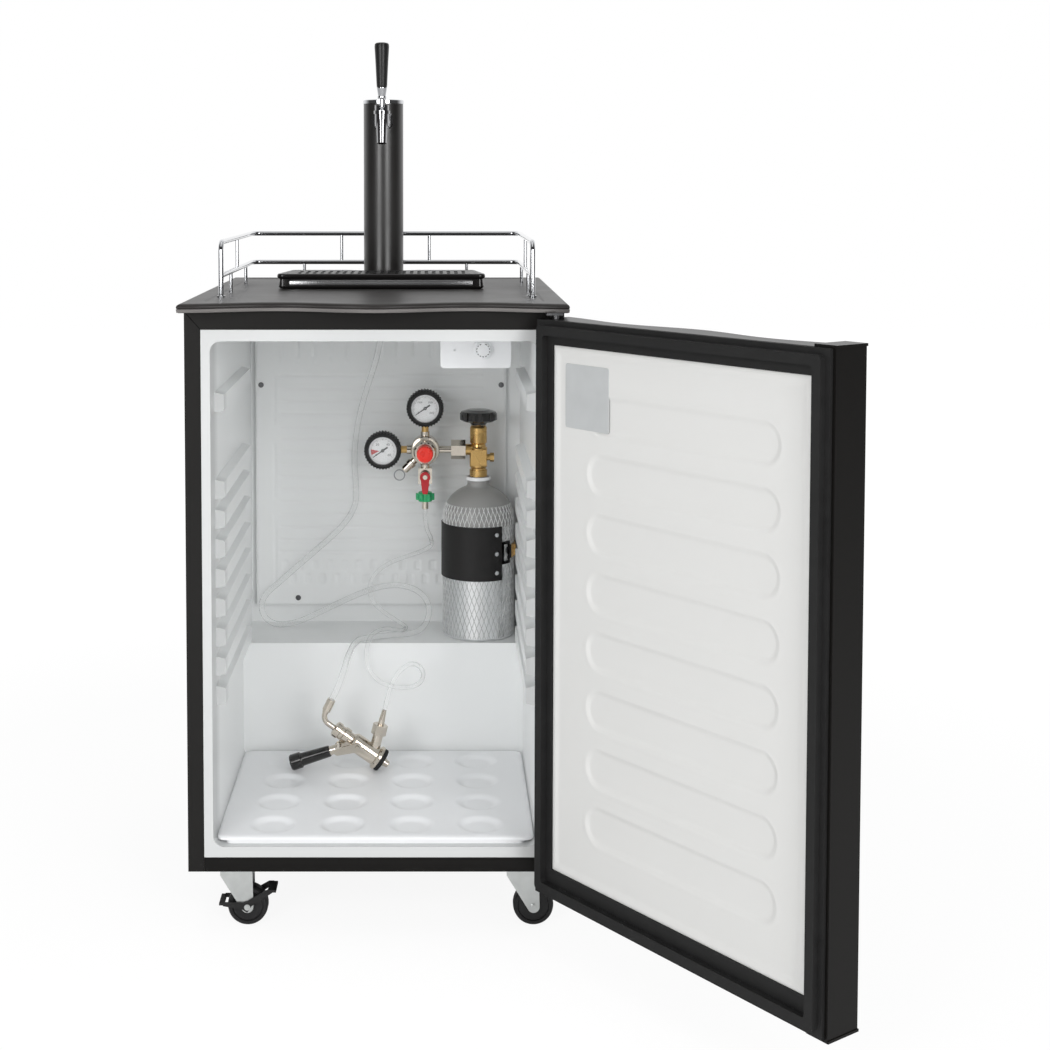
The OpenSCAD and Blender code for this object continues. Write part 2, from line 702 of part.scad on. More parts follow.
grille_t = 2.2;
module drip_tray() color("#0f0e0e") difference() {
    union() {
        translate([0, 0, tray_z]) linear_extrude(3) tray_outline(4);
        translate([0, 0, tray_z + 3]) linear_extrude(tray_h - 9) tray_outline(6);
        translate([0, 0, tray_z + tray_h - 6]) linear_extrude(6) tray_outline(0);
    }
    translate([0, 0, tray_z + tray_wall]) linear_extrude(tray_h) tray_outline(6 + tray_wall);
    translate([0, 0, tray_z + tray_h - grille_t - 0.8]) linear_extrude(tray_h) tray_outline(tray_wall + 1);
}

slot_count = 23;
module drip_grille() color("#3a3b3d") {
    z = tray_z + tray_h - grille_t - 0.8 + run;
    pitch = (tray_rear_w - 40) / (slot_count - 1);
    difference() {
        translate([0, 0, z]) linear_extrude(grille_t) tray_outline(tray_wall + 1 + run);
        for (i = [0:slot_count - 1], row = [0, 1]) let (x = (i - (slot_count - 1) / 2) * pitch)
            block([x - 2.6, tray_y0 + 15 + row * 38, z - eps],
                [x + 2.6, tray_y0 + 43 + row * 38, z + grille_t + eps]);
    }
}

// Plan of the door when shut, drawn in by inset
door_steps = 32;
function door_face(x) = door_in - door_t - door_wave * cos(720 * x / door_w);
module door_plan(inset) {
    low = edge_x + handle_t + inset;
    step = edge_x + handle_t + pull_w + inset;
    high = door_w / 2 - inset;
    polygon(concat([[high, door_in], [low, door_in], [low, pull_y + inset], [step, pull_y + inset]],
        [for (i = [0:door_steps]) let (x = step + (high - step) * i / door_steps)
            [x, door_face(x) + inset]]));
}

// Turns what is drawn with the door shut into the open place
module on_door() translate([hinge_x, hinge_y, 0]) rotate([0, 0, door_open])
    translate([-hinge_x, -hinge_y, 0]) children();

module hinge_bores(r) {
    translate([hinge_x, hinge_y, door_z1 - 16]) cylinder(h = 20, r = r);
    translate([hinge_x, hinge_y, door_z0 - 4]) cylinder(h = 20, r = r);
}

module door_skin() color("#1b1918") on_door() difference() {
    translate([0, 0, door_z0]) linear_extrude(door_z1 - door_z0) door_plan(0);
    translate([0, 0, door_z0 + sheet]) linear_extrude(door_z1 - door_z0 - 2 * sheet) door_plan(sheet);
    block([-panel_w / 2, door_in - 3, panel_z0], [panel_w / 2, door_in + eps, panel_z1]);
    hinge_bores(hinge_pin_r + run);
}

module door_foam() color("#e8dfb8") on_door() difference() {
    translate([0, 0, door_z0 + sheet]) linear_extrude(door_z1 - door_z0 - 2 * sheet) door_plan(sheet);
    block([-panel_w / 2, door_in - panel_t, panel_z0], [panel_w / 2, door_in + eps, panel_z1]);
    hinge_bores(hinge_pin_r + run);
}

// White inner panel with a row of pressed fields
field_w = 312;
field_h = 45;
field_x = -10;
field_margin = 44;
module door_liner() color("#f3f4f2") on_door() {
    pitch = (panel_z1 - panel_z0 - 2 * field_margin) / field_count;
    difference() {
        block([-panel_w / 2 + seam, door_in - panel_t, panel_z0 + seam],
            [panel_w / 2 - seam, door_in + 2, panel_z1 - seam]);
        along_y(door_in + 0.6, door_in + 3) translate([0, (panel_z0 + panel_z1) / 2])
            round_rect(panel_w - 16, panel_z1 - panel_z0 - 16, 20);
        for (i = [0:field_count - 1])
            along_y(door_in - 0.6, door_in + 3) translate([field_x, panel_z0 + field_margin + (i + 0.5)
                * pitch])
                round_rect(field_w, field_h, field_h / 2 - 0.01);
    }
}

gasket_rim = 0.4;
gasket_low_t = 4;
module door_gasket() color("#141313") on_door() {
    rim = door_w / 2 - gasket_rim;
    mid_x = handle_t / 2;
    mid_z = (door_z0 + door_z1) / 2;
    outer_h = door_z1 - door_z0 - 2 * gasket_rim;
    difference() {
        union() {
            along_y(door_in, door_in + gasket_low_t) translate([mid_x, mid_z])
                square([2 * rim - handle_t, outer_h], center = true);
            along_y(door_in, door_in + gasket_t) translate([mid_x, mid_z])
                round_rect(2 * rim - handle_t - 14, outer_h - 14, 6);
        }
        block([-panel_w / 2, door_in - eps, panel_z0], [panel_w / 2, door_in + gasket_low_t, panel_z1]);
        along_y(door_in + gasket_low_t - eps, door_in + 2 * gasket_t) translate([mid_x, mid_z])
            round_rect(2 * rim - handle_t - 38, outer_h - 38, 4);
    }
}

// Full-length pull: a plate along the free edge, a foot in the finger recess and a cap at each end
cap_t = 3;
module door_handle() color("#191716") on_door() {
    front = door_in - door_t - door_wave;
    translate([0, 0, door_z0]) linear_extrude(door_z1 - door_z0) union() {
        translate([edge_x, front]) square([handle_t, door_in - front]);
        translate([edge_x, front]) square([handle_t + 3, 3]);
        translate([edge_x, pull_y - 2.5]) square([handle_t + pull_w, 2.5]);
    }
    for (z = [door_z0 - cap_t, door_z1]) translate([edge_x - 1, front - 1, z])
        cube([handle_t + pull_w + 1, door_t + door_wave + 1, cap_t]);
}

// Upper bracket under the worktop's corner and lower bracket under the cabinet, each with its pin
bracket_t = 3;
module hinge_brackets() color("#8f9194") {
    x1 = hinge_x + 9;
    x0 = hinge_x - bracket_side;
    translate([hinge_x, hinge_y, 0]) {
        translate([0, 0, door_z1 - 14]) cylinder(h = z_roof - door_z1 + 14, r = hinge_pin_r);
        translate([0, 0, door_z0 - bracket_t]) cylinder(h = bracket_t + 14, r = hinge_pin_r);
    }
    block([hinge_x - 12, hinge_y - 5.5, z_roof - bracket_t], [x1, y_front, z_roof]);
    block([x0, hinge_y - 9, door_z0 - bracket_t - 0.5], [x1, y_front + 34, door_z0 - 0.5]);
    block([x0, y_front + 10, door_z0 - 0.5], [x1, y_front + 34, z_base]);
}

// Sealed compressor on its feet, with the terminal box and stub pipes
module compressor() color("#161616") translate([-30, niche_y + 70, z_base + sheet]) {
    rotate_extrude() polygon([[0, 12], [50, 12], [56, 20], [56, 70], [58, 71], [58, 75], [56, 76], [54, 104],
        [46, 120], [30, 128], [0, 130]]);
    for (x = [-1, 1], y = [-1, 1]) translate([x * 60, y * 38, 0]) cylinder(h = 12, r = 9);
    block([-74, -50, 10], [74, 50, 14]);
    block([50, -24, 34], [80, 24, 84]);
    bar_y(65, 20, 34, 48, 6);
    bar_y(65, 24, 29, 48, 8);
    translate([-62, 20, 40]) rotate([0, 90, 0]) cylinder(h = 20, r = 4);
    translate([-62, -10, 40]) rotate([0, 90, 0]) cylinder(h = 20, r = 4);
}

// Serpentine tube with upright wires on its rear side
coil_runs = 9;
coil_pitch = 52;
coil_half = 190;
coil_r = 2.5;
wire_count = 13;
wire_r = 0.9;
module condenser_coil() color("#111111") {
    y = y_back + 12;
    z0 = niche_z + 40;
    bend_r = coil_pitch / 2;
    z1 = z0 + (coil_runs - 1) * coil_pitch;
    for (i = [0:coil_runs - 1]) bar_x(-coil_half, coil_half, y, z0 + i * coil_pitch, coil_r);
    for (i = [0:coil_runs - 2]) let (side = i % 2 == 0 ? 1 : -1)
        translate([side * coil_half, y, z0 + (i + 0.5) * coil_pitch]) rotate([90, 0, 0])
            bend(bend_r, coil_r, side > 0 ? -90 : 90, 180);
    for (i = [0:wire_count - 1]) let (x = (i / (wire_count - 1) - 0.5) * 2 * (coil_half - 12))
        translate([x, y + coil_r + wire_r + 0.05, z0 - 10]) cylinder(h = z1 - z0 + 20, r = wire_r, $fn = 16);
    for (side = [-1, 1], z = [z0, z1]) bar_y(side * (coil_half - 30), y_back, y, z, 2);
}

module co2_cylinder() color("#b9bbbd") translate([cyl_x, cyl_y, cyl_z]) rotate_extrude($fn = 96) {
    neck_r = 17;
    dome_r = cyl_r - 4.5;
    cove_r = 5.5;
    cove_x = neck_r + cove_r;
    cove_z = sqrt(pow(dome_r + cove_r, 2) - pow(cove_x - cyl_r + dome_r, 2));
    difference() {
        union() {
            square([cyl_r, cyl_wall_h]);
            translate([0, cyl_wall_h]) intersection() {
                square([cyl_r, dome_r]);
                translate([cyl_r - dome_r, 0]) circle(dome_r);
            }
            translate([0, cyl_wall_h]) difference() {
                square([neck_r + 3.4, cove_z]);
                translate([cove_x, cove_z]) circle(cove_r);
            }
            translate([0, cyl_wall_h]) square([neck_r, cyl_neck_h - 2]);
            translate([0, cyl_wall_h]) square([neck_r - 2, cyl_neck_h]);
        }
        translate([cyl_r - 4, 0]) difference() {
            translate([0, -eps]) square([6, 4 + eps]);
            translate([0, 4]) circle(4);
        }
    }
}

// Brass valve with its outlet to the left and safety plug to the right
module cylinder_valve() color("#b08d3e") {
    translate([cyl_x, cyl_y, cyl_top]) {
        rotate_extrude() polygon([[0, 0], [valve_r, 0], [valve_r, 10], [valve_r - 1.5, 10],
            [valve_r - 1.5, 13],
            [valve_r, 15], [valve_r, 44], [valve_r - 2, 46], [valve_r - 2.5, 50], [valve_r - 0.5, 52],
                [valve_r - 0.5, 75],
            [valve_r - 2.5, 78.5], [stem_r, 78.5], [stem_r, 92], [0, 92]]);
        translate([0, 0, 30]) cube([24, 27.5, 24], center = true);
    }
    bar_x(cyl_x - 22, cyl_x, cyl_y, outlet_z, outlet_r);
    bar_x(cyl_x, cyl_x + 18, cyl_y, outlet_z - 12, 5);
    translate([cyl_x + 18, cyl_y, outlet_z - 12]) rotate([0, 90, 0]) cylinder(h = 6, r = 7, $fn = 6);
}

wheel_lobes = 8;
hand_r = 29;
module cylinder_handwheel() color("#121212") translate([cyl_x, cyl_y, stem_z]) difference() {
    rotate_extrude() polygon([[stem_r + run, 0], [12, 0], [14, 4], [24, 5], [hand_r, 8], [hand_r, 16],
        [26, 20],
        [16, 23], [0, 24], [0, 13], [stem_r + run, 13]]);
    for (i = [0:wheel_lobes - 1]) rotate([0, 0, 360 / wheel_lobes * i]) translate([hand_r + 5, 0, -eps])
        cylinder(h = 30, r = 8.5);
}

// Band round the cylinder, open at the right where the catch closes it
strap_from = 15;
strap_sweep = 293;
module cylinder_strap() color("#1a1918") translate([cyl_x, cyl_y, strap_z]) rotate([0, 0, strap_from])
    rotate_extrude(angle = strap_sweep, $fn = 96) translate([cyl_r, 0]) square([strap_t, strap_h]);

module strap_hardware() color("#b9a06a") translate([cyl_x, cyl_y, strap_z + strap_h / 2]) {
    tail = strap_from + strap_sweep;
    for (z = [-29, 0, 29]) rotate([0, 0, tail - 10]) translate([strap_r, 0, z]) rotate([0, 90, 0])
        rotate_extrude() polygon([[0, 0], [3.4, 0], [3, 1.2], [1.2, 1.8], [0, 1.8]]);
    difference() {
        rotate([0, 0, tail]) rotate_extrude(angle = 18, $fn = 96) translate([cyl_r, -17]) square([3, 34]);
        rotate([0, 0, tail + 3.5]) rotate_extrude(angle = 11, $fn = 96) translate([cyl_r - 1, -13])
            square([6, 26]);
    }
    rotate([0, 0, tail + 18]) rotate_extrude(angle = 342 + strap_from - tail, $fn = 96)
        translate([cyl_r, -10]) square([strap_t, 20]);
    rotate([0, 0, tail + 36]) translate([strap_r, 0, -8]) cylinder(h = 16, r = 2.6);
}

// Regulator body with its bonnet, inlet nut and slanting relief valve
relief_a = 45;
module relief_place() translate([reg_x, cyl_y, reg_z]) rotate([0, -90 - relief_a, 0]) children();
module regulator_body() color("#cfc9bb") {
    difference() {
        union() {
            translate([reg_x, cyl_y + 12, reg_z]) rotate([90, 0, 0]) rotate_extrude()
                polygon([[0, 0], [reg_r - 2, 0], [reg_r, 2], [reg_r, 24], [reg_r - 1, 26], [reg_r - 4, 27],
                    [reg_r - 4, 34], [reg_r - 5, 48], [reg_r - 7, 52], [0, 52]]);
            bar_x(reg_x, reg_x + 59.8, cyl_y, reg_z, 5.5);
            translate([reg_x, cyl_y, reg_z - reg_r - 6]) cylinder(h = 12, r = 7);
            translate([reg_x, cyl_y, reg_z + reg_r - 6]) cylinder(h = 12, r = 7);
            bar_x(reg_x - reg_r - 6, reg_x - reg_r + 6, cyl_y, reg_z, 7);
        }
        bar_y(reg_x, cyl_y - 41, cyl_y - 20, reg_z, 5 + run);
    }
    difference() {
        translate([reg_x + 40, cyl_y, reg_z]) rotate([0, 90, 0]) cylinder(h = 22, r = 15, $fn = 6);
        bar_x(reg_x + 46, reg_x + 70, cyl_y, reg_z, outlet_r);
    }
    difference() {
        relief_place() rotate_extrude() polygon([[0, reg_r - 0.4], [5.5, reg_r - 0.4], [5.5, reg_r + 5],
            [7.5, reg_r + 6], [7.5, reg_r + 12], [6.3, reg_r + 13], [6.3, reg_r + 22], [4.6, reg_r + 24.5],
            [0, reg_r + 24.5]]);
        relief_place() translate([0, 0, reg_r + 6]) cylinder(h = 30, r = 1.5 + run);
        bar_y(reg_x, cyl_y - 60, cyl_y + 60, reg_z, reg_r);
    }
}

ring_r = 8;
ring_wire = 0.9;
module relief_ring() color("#c8cacc") relief_place() {
    translate([0, 0, reg_r + 10]) cylinder(h = 17, r = 1.5);
    translate([0, 0, reg_r + 26 + ring_r]) rotate([90, 0, 0]) rotate_extrude() translate([ring_r, 0])
        circle(ring_wire, $fn = 24);
}

module regulator_knob() color("#d3271f") translate([reg_x, cyl_y - 40 - run, reg_z]) rotate([90, 0, 0])
    difference() {
    union() {
        rotate_extrude() polygon([[0, 0], [12, 0], [12.6, 1], [12.6, 12], [11, 14.5], [8, 15], [7.4, 14],
            [0, 14]]);
        translate([0, 0, -16]) cylinder(h = 17, r = 5);
    }
    for (a = [0:20:340]) rotate([0, 0, a]) translate([13.4, 0, -eps]) cylinder(h = 14, r = 1.3, $fn = 16);
}

// Each gauge: where its middle is and how its stem is turned towards the regulator
module gauge_places() {
    translate([reg_x, 0, reg_z + gauge_reach]) children();
    translate([reg_x - gauge_reach, 0, reg_z]) rotate([0, -90, 0]) children();
}

module gauge_cases() color("#191919") gauge_places() {
    difference() {
        union() {
            bar_y(0, gauge_front, gauge_back, 0, gauge_r);
            translate([0, cyl_y, -gauge_reach + reg_r + 6])
                cylinder(h = gauge_reach - reg_r - 6 - gauge_r + 4, r = 5.5);
        }
        bar_y(0, gauge_front - eps, dial_y, 0, gauge_r - 2.5);
    }
    bar_y(0, dial_y - 2.6, dial_y, 0, needle_pin_r);
}

// Ribbed rubber boot with its bore
boot_ribs = 36;
module gauge_boots() color("#101010") gauge_places() difference() {
    along_y(gauge_front - 1, gauge_back - 3) difference() {
        polygon([for (i = [0:4 * boot_ribs - 1]) let
            (a = 90 * i / boot_ribs, r = gauge_r + boot_t + (i % 4 < 2 ? 1.5 : 0))
            [r * cos(a), r * sin(a)]]);
        circle(gauge_r, $fn = 96);
    }
    translate([0, cyl_y, -gauge_r - boot_t - 4]) cylinder(h = 12, r = 5.5 + seam);
}

module gauge_lenses() color("#dfe8ec", 0.35) gauge_places()
    bar_y(0, gauge_front + 0.5, gauge_front + 2, 0, gauge_r - 2.5);

// Needle on its pin, resting at zero
needle_rest = 235;
module needle(x, z) translate([x, dial_y - 1.2, z]) rotate([0, needle_rest, 0]) rotate([90, 0, 0])
    difference() {
    union() {
        cylinder(h = 1, r = 2.6);
        linear_extrude(1) polygon([[-1, 0], [-0.4, gauge_r - 6], [0.4, gauge_r - 6], [1, 0], [1.3, -9],
            [-1.3, -9]]);
    }
    translate([0, 0, -eps]) cylinder(h = 3, r = needle_pin_r + run);
}
module needle_high() color("#101010") needle(reg_x, reg_z + gauge_reach);
module needle_low() color("#101010") needle(reg_x - gauge_reach, reg_z);

// Ball valve under the regulator with a hose tail
module shutoff_valve() color("#a9a49b") {
    tail_z = nut_z - 19;
    difference() {
        union() {
            translate([reg_x, cyl_y, shut_z - 16]) cylinder(h = reg_z - reg_r - 6 - shut_z + 16, r = 7);
            translate([reg_x, cyl_y, shut_z]) cube([21, 18, 24], center = true);
            bar_y(reg_x, shut_y - 3, cyl_y, shut_z, 8);
            bar_y(reg_x, shut_y - 9, cyl_y, shut_z, 3.5);
            translate([reg_x, cyl_y, tail_z]) cylinder(h = shut_z - tail_z, r = 5);
            translate([reg_x, cyl_y, tail_z]) cylinder(h = 10, r1 = 3, r2 = 5);
        }
        translate([reg_x, cyl_y, tail_z - eps]) cylinder(h = 18, r = 1.6);
    }
}

module shutoff_lever() color("#c11f2a") translate([reg_x, shut_y - 3 - run, shut_z]) rotate([90, 0, 0])
    difference() {
    union() {
        cylinder(h = 5, r = 8);
        translate([0, 0, 1]) linear_extrude(3.6)
            polygon([[-7, 0], [-4.6, -22], [-3.4, -26], [3.4, -26], [4.6, -22], [7, 0]]);
    }
    translate([0, 0, -eps]) cylinder(h = 10, r = 3.5 + run);
}

nut_wings = 6;
module hose_nut() color("#1f9a57") translate([reg_x, cyl_y, nut_z - 7]) difference() {
    union() {
        cylinder(h = 14, r = 10.5);
        for (i = [0:nut_wings - 1]) rotate([0, 0, 360 / nut_wings * i]) translate([11, 0, 2])
            cylinder(h = 10, r = 3.4);
    }
    translate([0, 0, -eps]) cylinder(h = 20, r = 5);
}

module beer_line() color("#dfe6e8", 0.6) hose(beer_route, beer_r, 10);
module gas_line() color("#e4eaec", 0.6) hose(gas_route, gas_r, 8);

// Places what is drawn along the coupler's own axis where the coupler lies
module on_coupler() translate([coupler_x, coupler_y, coupler_z]) rotate([0, -lean, 0]) children();

elbow_l = 96;
elbow_bend = 14;
elbow_sweep = 81.5;
module coupler_body() color("#cfc7b4") on_coupler() {
    difference() {
        union() {
            rotate_extrude() polygon([[0, 6], [seal_r, 6], [seal_r + 1, 7], [seal_r + 1, 10],
                [seal_r - 1, 12],
                [coupler_r, 13], [coupler_r, 50], [coupler_r - 2, 53], [9, 55], [9, 61], [11.5, 62],
                    [11.5, 70],
                [10, 71], [10, 76], [11.5, 77], [11.5, 84], [8, 86], [0, 86]]);
            bar_y(0, -coupler_r - 6, coupler_r + 6, pivot_l, 3);
            translate([0, 0, gas_l]) rotate([0, 90 - gas_tilt, 0]) cylinder(h = 32, r = 7.5);
            translate([0, 0, 80]) cylinder(h = elbow_l - 80, r = 4);
            translate([elbow_bend, 0, elbow_l]) rotate([90, 0, 0])
                bend(elbow_bend, 4, 180 - elbow_sweep, elbow_sweep);
            translate([elbow_bend * (1 - cos(elbow_sweep)), 0, elbow_l + elbow_bend * sin(elbow_sweep)])
                rotate([0, elbow_sweep, 0]) translate([0, 0, -1]) cylinder(h = 5, r = 4.7);
        }
        translate([0, 0, -eps]) cylinder(h = 58, r = probe_r + run);
    }
    translate([elbow_bend * (1 - cos(elbow_sweep)), 0, elbow_l + elbow_bend * sin(elbow_sweep)])
        rotate([0, elbow_sweep, 0]) translate([0, 0, 2.5]) cylinder(h = 17.8, r = 6.2);
    translate([0, 0, gas_l]) rotate([0, 90 - gas_tilt, 0]) {
        translate([0, 0, 31]) cylinder(h = 15, r = 11, $fn = 6);
        translate([0, 0, 45]) cylinder(h = 9, r = 4.5);
        translate([0, 0, 54]) cylinder(h = 14.4, r1 = 4.5, r2 = 3);
    }
}

module coupler_seal() color("#111111") on_coupler() rotate_extrude()
    polygon([[probe_r + 2, 0], [seal_r - 1, 0], [seal_r, 1], [seal_r, 5], [seal_r - 1, 6], [probe_r + 2, 6]]);

probe_out = 10;
module coupler_probe() color("#d2ccbc") on_coupler() rotate_extrude()
    polygon([[0, -probe_out], [probe_r - 2, -probe_out], [probe_r - 1, 1 - probe_out],
        [probe_r - 1, 5 - probe_out],
        [probe_r, 6 - probe_out], [probe_r, 48], [0, 48]]);

// Forked lever: two cheeks on the body's pins, a crossbar and a socket for the grip
cheek_t = 3.2;
module coupler_lever() color("#cbbfa9") on_coupler() {
    inner = coupler_r + 1;
    difference() {
        union() {
            for (side = [-1, 1]) along_y(side > 0 ? inner : -inner - cheek_t,
                side > 0 ? inner + cheek_t : -inner)
                hull() {
                    translate([0, pivot_l]) circle(6.5, $fn = 32);
                    translate(crossbar) circle(5, $fn = 32);
                }
            bar_y(crossbar[0], -inner - cheek_t, inner + cheek_t, crossbar[1], 4.5);
            translate([crossbar[0], 0, crossbar[1]]) rotate([0, grip_tilt - 90, 0]) cylinder(h = 12, r = 6.5);
        }
        bar_y(0, -40, 40, pivot_l, 3 + run);
    }
}

module coupler_grip() color("#131212") on_coupler() translate([crossbar[0], 0, crossbar[1]])
    rotate([0, grip_tilt - 90, 0]) rotate_extrude()
        polygon([[0, 12], [7.5, 12], [8.2, 13.5], [9.4, 54], [9.8, 55],
        [11.6, 56.5], [11.6, 70], [10.4, 72], [0, 72]]);

// Caster top plate with its race and king pin
caster_spots = [[-1, -1], [1, -1], [-1, 1], [1, 1]];
module at_caster(i) translate([caster_spots[i][0] * caster_x, caster_spots[i][1] * caster_y, 0]) children();
module caster_plates() color("#b9bdbb") for (i = [0:3]) at_caster(i) {
    translate([0, 0, caster_h - 2.5]) linear_extrude(2.5) round_rect(caster_plate, caster_plate, 6);
    translate([0, 0, fork_z + run]) cylinder(h = caster_h - 2.5 - fork_z - run, r1 = 16, r2 = 20);
    translate([0, 0, fork_z - 6]) cylinder(h = 8, r = king_r);
    translate([0, 0, fork_z - 7]) cylinder(h = 2.5, r = 8);
}

// Fork with two tapered legs and the axle between them
module caster_fork(i) color("#bcc1bf") at_caster(i) {
    outer = leg_gap + fork_t;
    difference() {
        union() {
            translate([0, 0, fork_z - 3.4]) cylinder(h = 3.4, r = 20);
            block([-14, -outer, fork_z - 3.4], [trail + 6, outer, fork_z - 0.4]);
            for (side = [-1, 1]) along_y(side > 0 ? leg_gap : -outer, side > 0 ? outer : -leg_gap) hull() {
                translate([trail, wheel_r]) circle(8, $fn = 32);
                translate([-17, fork_z - 12]) square([trail + 24, 11]);
            }
            bar_y(trail, -outer - 2, outer + 2, wheel_r, axle_r);
        }
        translate([0, 0, fork_z - 10]) cylinder(h = 12, r = king_r + run);
    }
}

module caster_wheel(i) color("#161616") at_caster(i) translate([trail, 0, wheel_r]) rotate([90, 0, 0]) {
    half = wheel_w / 2;
    rotate_extrude() polygon([[axle_r + run, -half - 1], [9, -half - 1], [9, -half + 2],
        [wheel_r - 7, -half + 2],
        [wheel_r - 6, -half], [wheel_r - 2.5, -half], [wheel_r - 0.6, -half + 2.5], [wheel_r, -half + 6],
        [wheel_r, half - 6], [wheel_r - 0.6, half - 2.5], [wheel_r - 2.5, half], [wheel_r - 6, half],
        [wheel_r - 7, half - 2], [9, half - 2], [9, half + 1], [axle_r + run, half + 1]]);
}

// Rocking brake pedal on the ends of the front left axle
module brake_pedal() color("#141414") at_caster(0) translate([trail, 0, wheel_r]) {
    inner = leg_gap + fork_t + run;
    reach = wheel_r + 2.5;
    difference() {
        union() {
            for (side = [-1, 1]) along_y(side > 0 ? inner : -inner - 1.6, side > 0 ? inner + 1.6 : -inner)
                polygon([[-reach - 3, 2], [-reach - 3, 7], [-6, 7], [0, 9], [reach - 3, 24], [reach + 4, 24],
                    [reach + 4, 20], [6, 2], [0, -7], [-6, -3]]);
            block([-reach - 8, -inner - 1.6, 3], [-reach - 1, inner + 1.6, 6]);
            block([reach - 2, -inner - 1.6, 20.5], [reach + 9, inner + 1.6, 23.5]);
        }
        bar_y(0, -40, 40, 0, axle_r + run);
    }
}

module caster_fork_fl() caster_fork(0);
module caster_fork_fr() caster_fork(1);
module caster_fork_rl() caster_fork(2);
module caster_fork_rr() caster_fork(3);
module wheel_fl() caster_wheel(0);
module wheel_fr() caster_wheel(1);
module wheel_rl() caster_wheel(2);
module wheel_rr() caster_wheel(3);

cabinet_shell();
base_pan();
back_panel();
cabinet_foam();
cabinet_liner();
evaporator_plate();
plate_screws();
thermostat_housing();
floor_plate();
worktop();
guard_rail();
tower_column();
tower_cap();
faucet_body();
beer_line();
gas_line();
compressor();
condenser_coil();
co2_cylinder();
cylinder_valve();
cylinder_strap();
strap_hardware();
regulator_body();
gauge_cases();
gauge_boots();
gauge_lenses();
shutoff_valve();
hose_nut();
coupler_body();
coupler_seal();
hinge_brackets();
caster_plates();
door_skin();
door_foam();
door_liner();
door_gasket();
door_handle();
tap_lever();
tap_grip();
drip_tray();
drip_grille();
thermostat_knob();
cylinder_handwheel();
regulator_knob();
shutoff_lever();
relief_ring();
coupler_lever();
coupler_grip();
coupler_probe();
caster_fork_fl();
caster_fork_fr();
caster_fork_rl();
caster_fork_rr();
wheel_fl();
wheel_fr();
wheel_rl();
wheel_rr();
brake_pedal();
needle_high();
needle_low();
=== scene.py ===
"""Finish and stage for the draft beer cooler: hoses, worktop, door panel, dials, netting and materials."""

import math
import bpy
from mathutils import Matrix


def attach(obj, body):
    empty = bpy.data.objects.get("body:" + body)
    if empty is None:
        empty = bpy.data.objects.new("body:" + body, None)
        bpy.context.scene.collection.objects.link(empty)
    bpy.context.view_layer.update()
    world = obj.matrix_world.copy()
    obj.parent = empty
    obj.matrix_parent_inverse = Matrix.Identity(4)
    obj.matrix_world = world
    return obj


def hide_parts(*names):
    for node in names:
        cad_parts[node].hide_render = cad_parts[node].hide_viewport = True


bl_info = {
    "name": "Draft Beer Cooler Finish",
    "version": (1, 0, 0),
    "blender": (4, 5, 0),
    "location": "3D View > Sidebar > Cooler",
    "description": "Dresses the solids of a draft beer cooler and stages it under soft studio light",
    "category": "Object",
}

import bmesh
import bpy
from bpy.props import FloatProperty, FloatVectorProperty, IntProperty, PointerProperty
from mathutils import Matrix, Vector

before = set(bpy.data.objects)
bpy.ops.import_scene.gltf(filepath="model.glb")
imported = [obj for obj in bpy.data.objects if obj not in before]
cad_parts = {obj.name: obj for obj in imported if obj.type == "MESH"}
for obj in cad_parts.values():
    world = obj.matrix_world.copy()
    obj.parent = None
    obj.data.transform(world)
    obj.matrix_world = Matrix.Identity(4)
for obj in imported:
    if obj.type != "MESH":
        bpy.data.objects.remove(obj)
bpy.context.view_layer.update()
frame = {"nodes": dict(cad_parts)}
MM = 0.001

# Places that the solids fix, in millimetres
DOOR_HINGE = (232.0, -300.0)
DOOR_OPEN = math.radians(126)
DOOR_FACE_Y = -282.0
DOOR_WAVE = 243.0
PANEL_HALF = 211.6
PANEL_LOW = 117.2
PANEL_HIGH = 788.8
WORKTOP_HALF = 249.0
WORKTOP_REAR = 305.0
TRAY_FRONT = 12.0
TRAY_REAR = 124.0
TOWER_HOLLOW = (198.0, 91.0)
CYLINDER_AXIS = (145.0, 150.0)
CYLINDER_FOOT = 296.0
PAINT_EDGE = 468.5
GAUGES = {"high": (63.0, 647.0), "low": (-2.0, 582.0)}
GAUGE_CASE_RADIUS = 24.3
DIAL_Y = 139.0
PRINT_Y = DIAL_Y - 0.42
LOOP_X = 177.0
CATCH_X = 195.0
BAY_TOP = 300.0
BAY_FRONT = 110.0

BEER_ROUTE = (
    (0, 140, 1065.7), (0, 140, 1000), (0, 140, 920), (0, 140, 850), (-1, 141, 790), (-5, 146, 755),
    (-12, 157, 722), (-22, 170, 690), (-33, 182, 655), (-42, 191, 618), (-47, 196, 582), (-48, 199, 548),
    (-46, 199, 516), (-47, 198, 490), (-58, 197.5, 466), (-79, 197, 442), (-108, 197, 416), (-138, 197, 390),
    (-165, 197, 366), (-187, 196, 346), (-194.5, 194, 328), (-189, 190, 311), (-174, 185, 301.7),
    (-154, 183, 301.2), (-130, 185, 307), (-104, 190, 318), (-74, 196, 331), (-42, 199, 345), (-10, 199, 356),
    (18, 196, 360), (43, 190, 356), (61, 178, 346), (69, 161, 331), (65, 143, 315), (52, 131, 304),
    (30, 124, 300.8), (4, 116, 300.8), (-22, 104, 300.8), (-36, 92, 301), (-44, 74, 298), (-48, 54, 294),
    (-52, 32, 288), (-55, 12, 279), (-59.5, -1, 267), (-65.3, -6.5, 253.2), (-72.4, -7, 238.9),
)
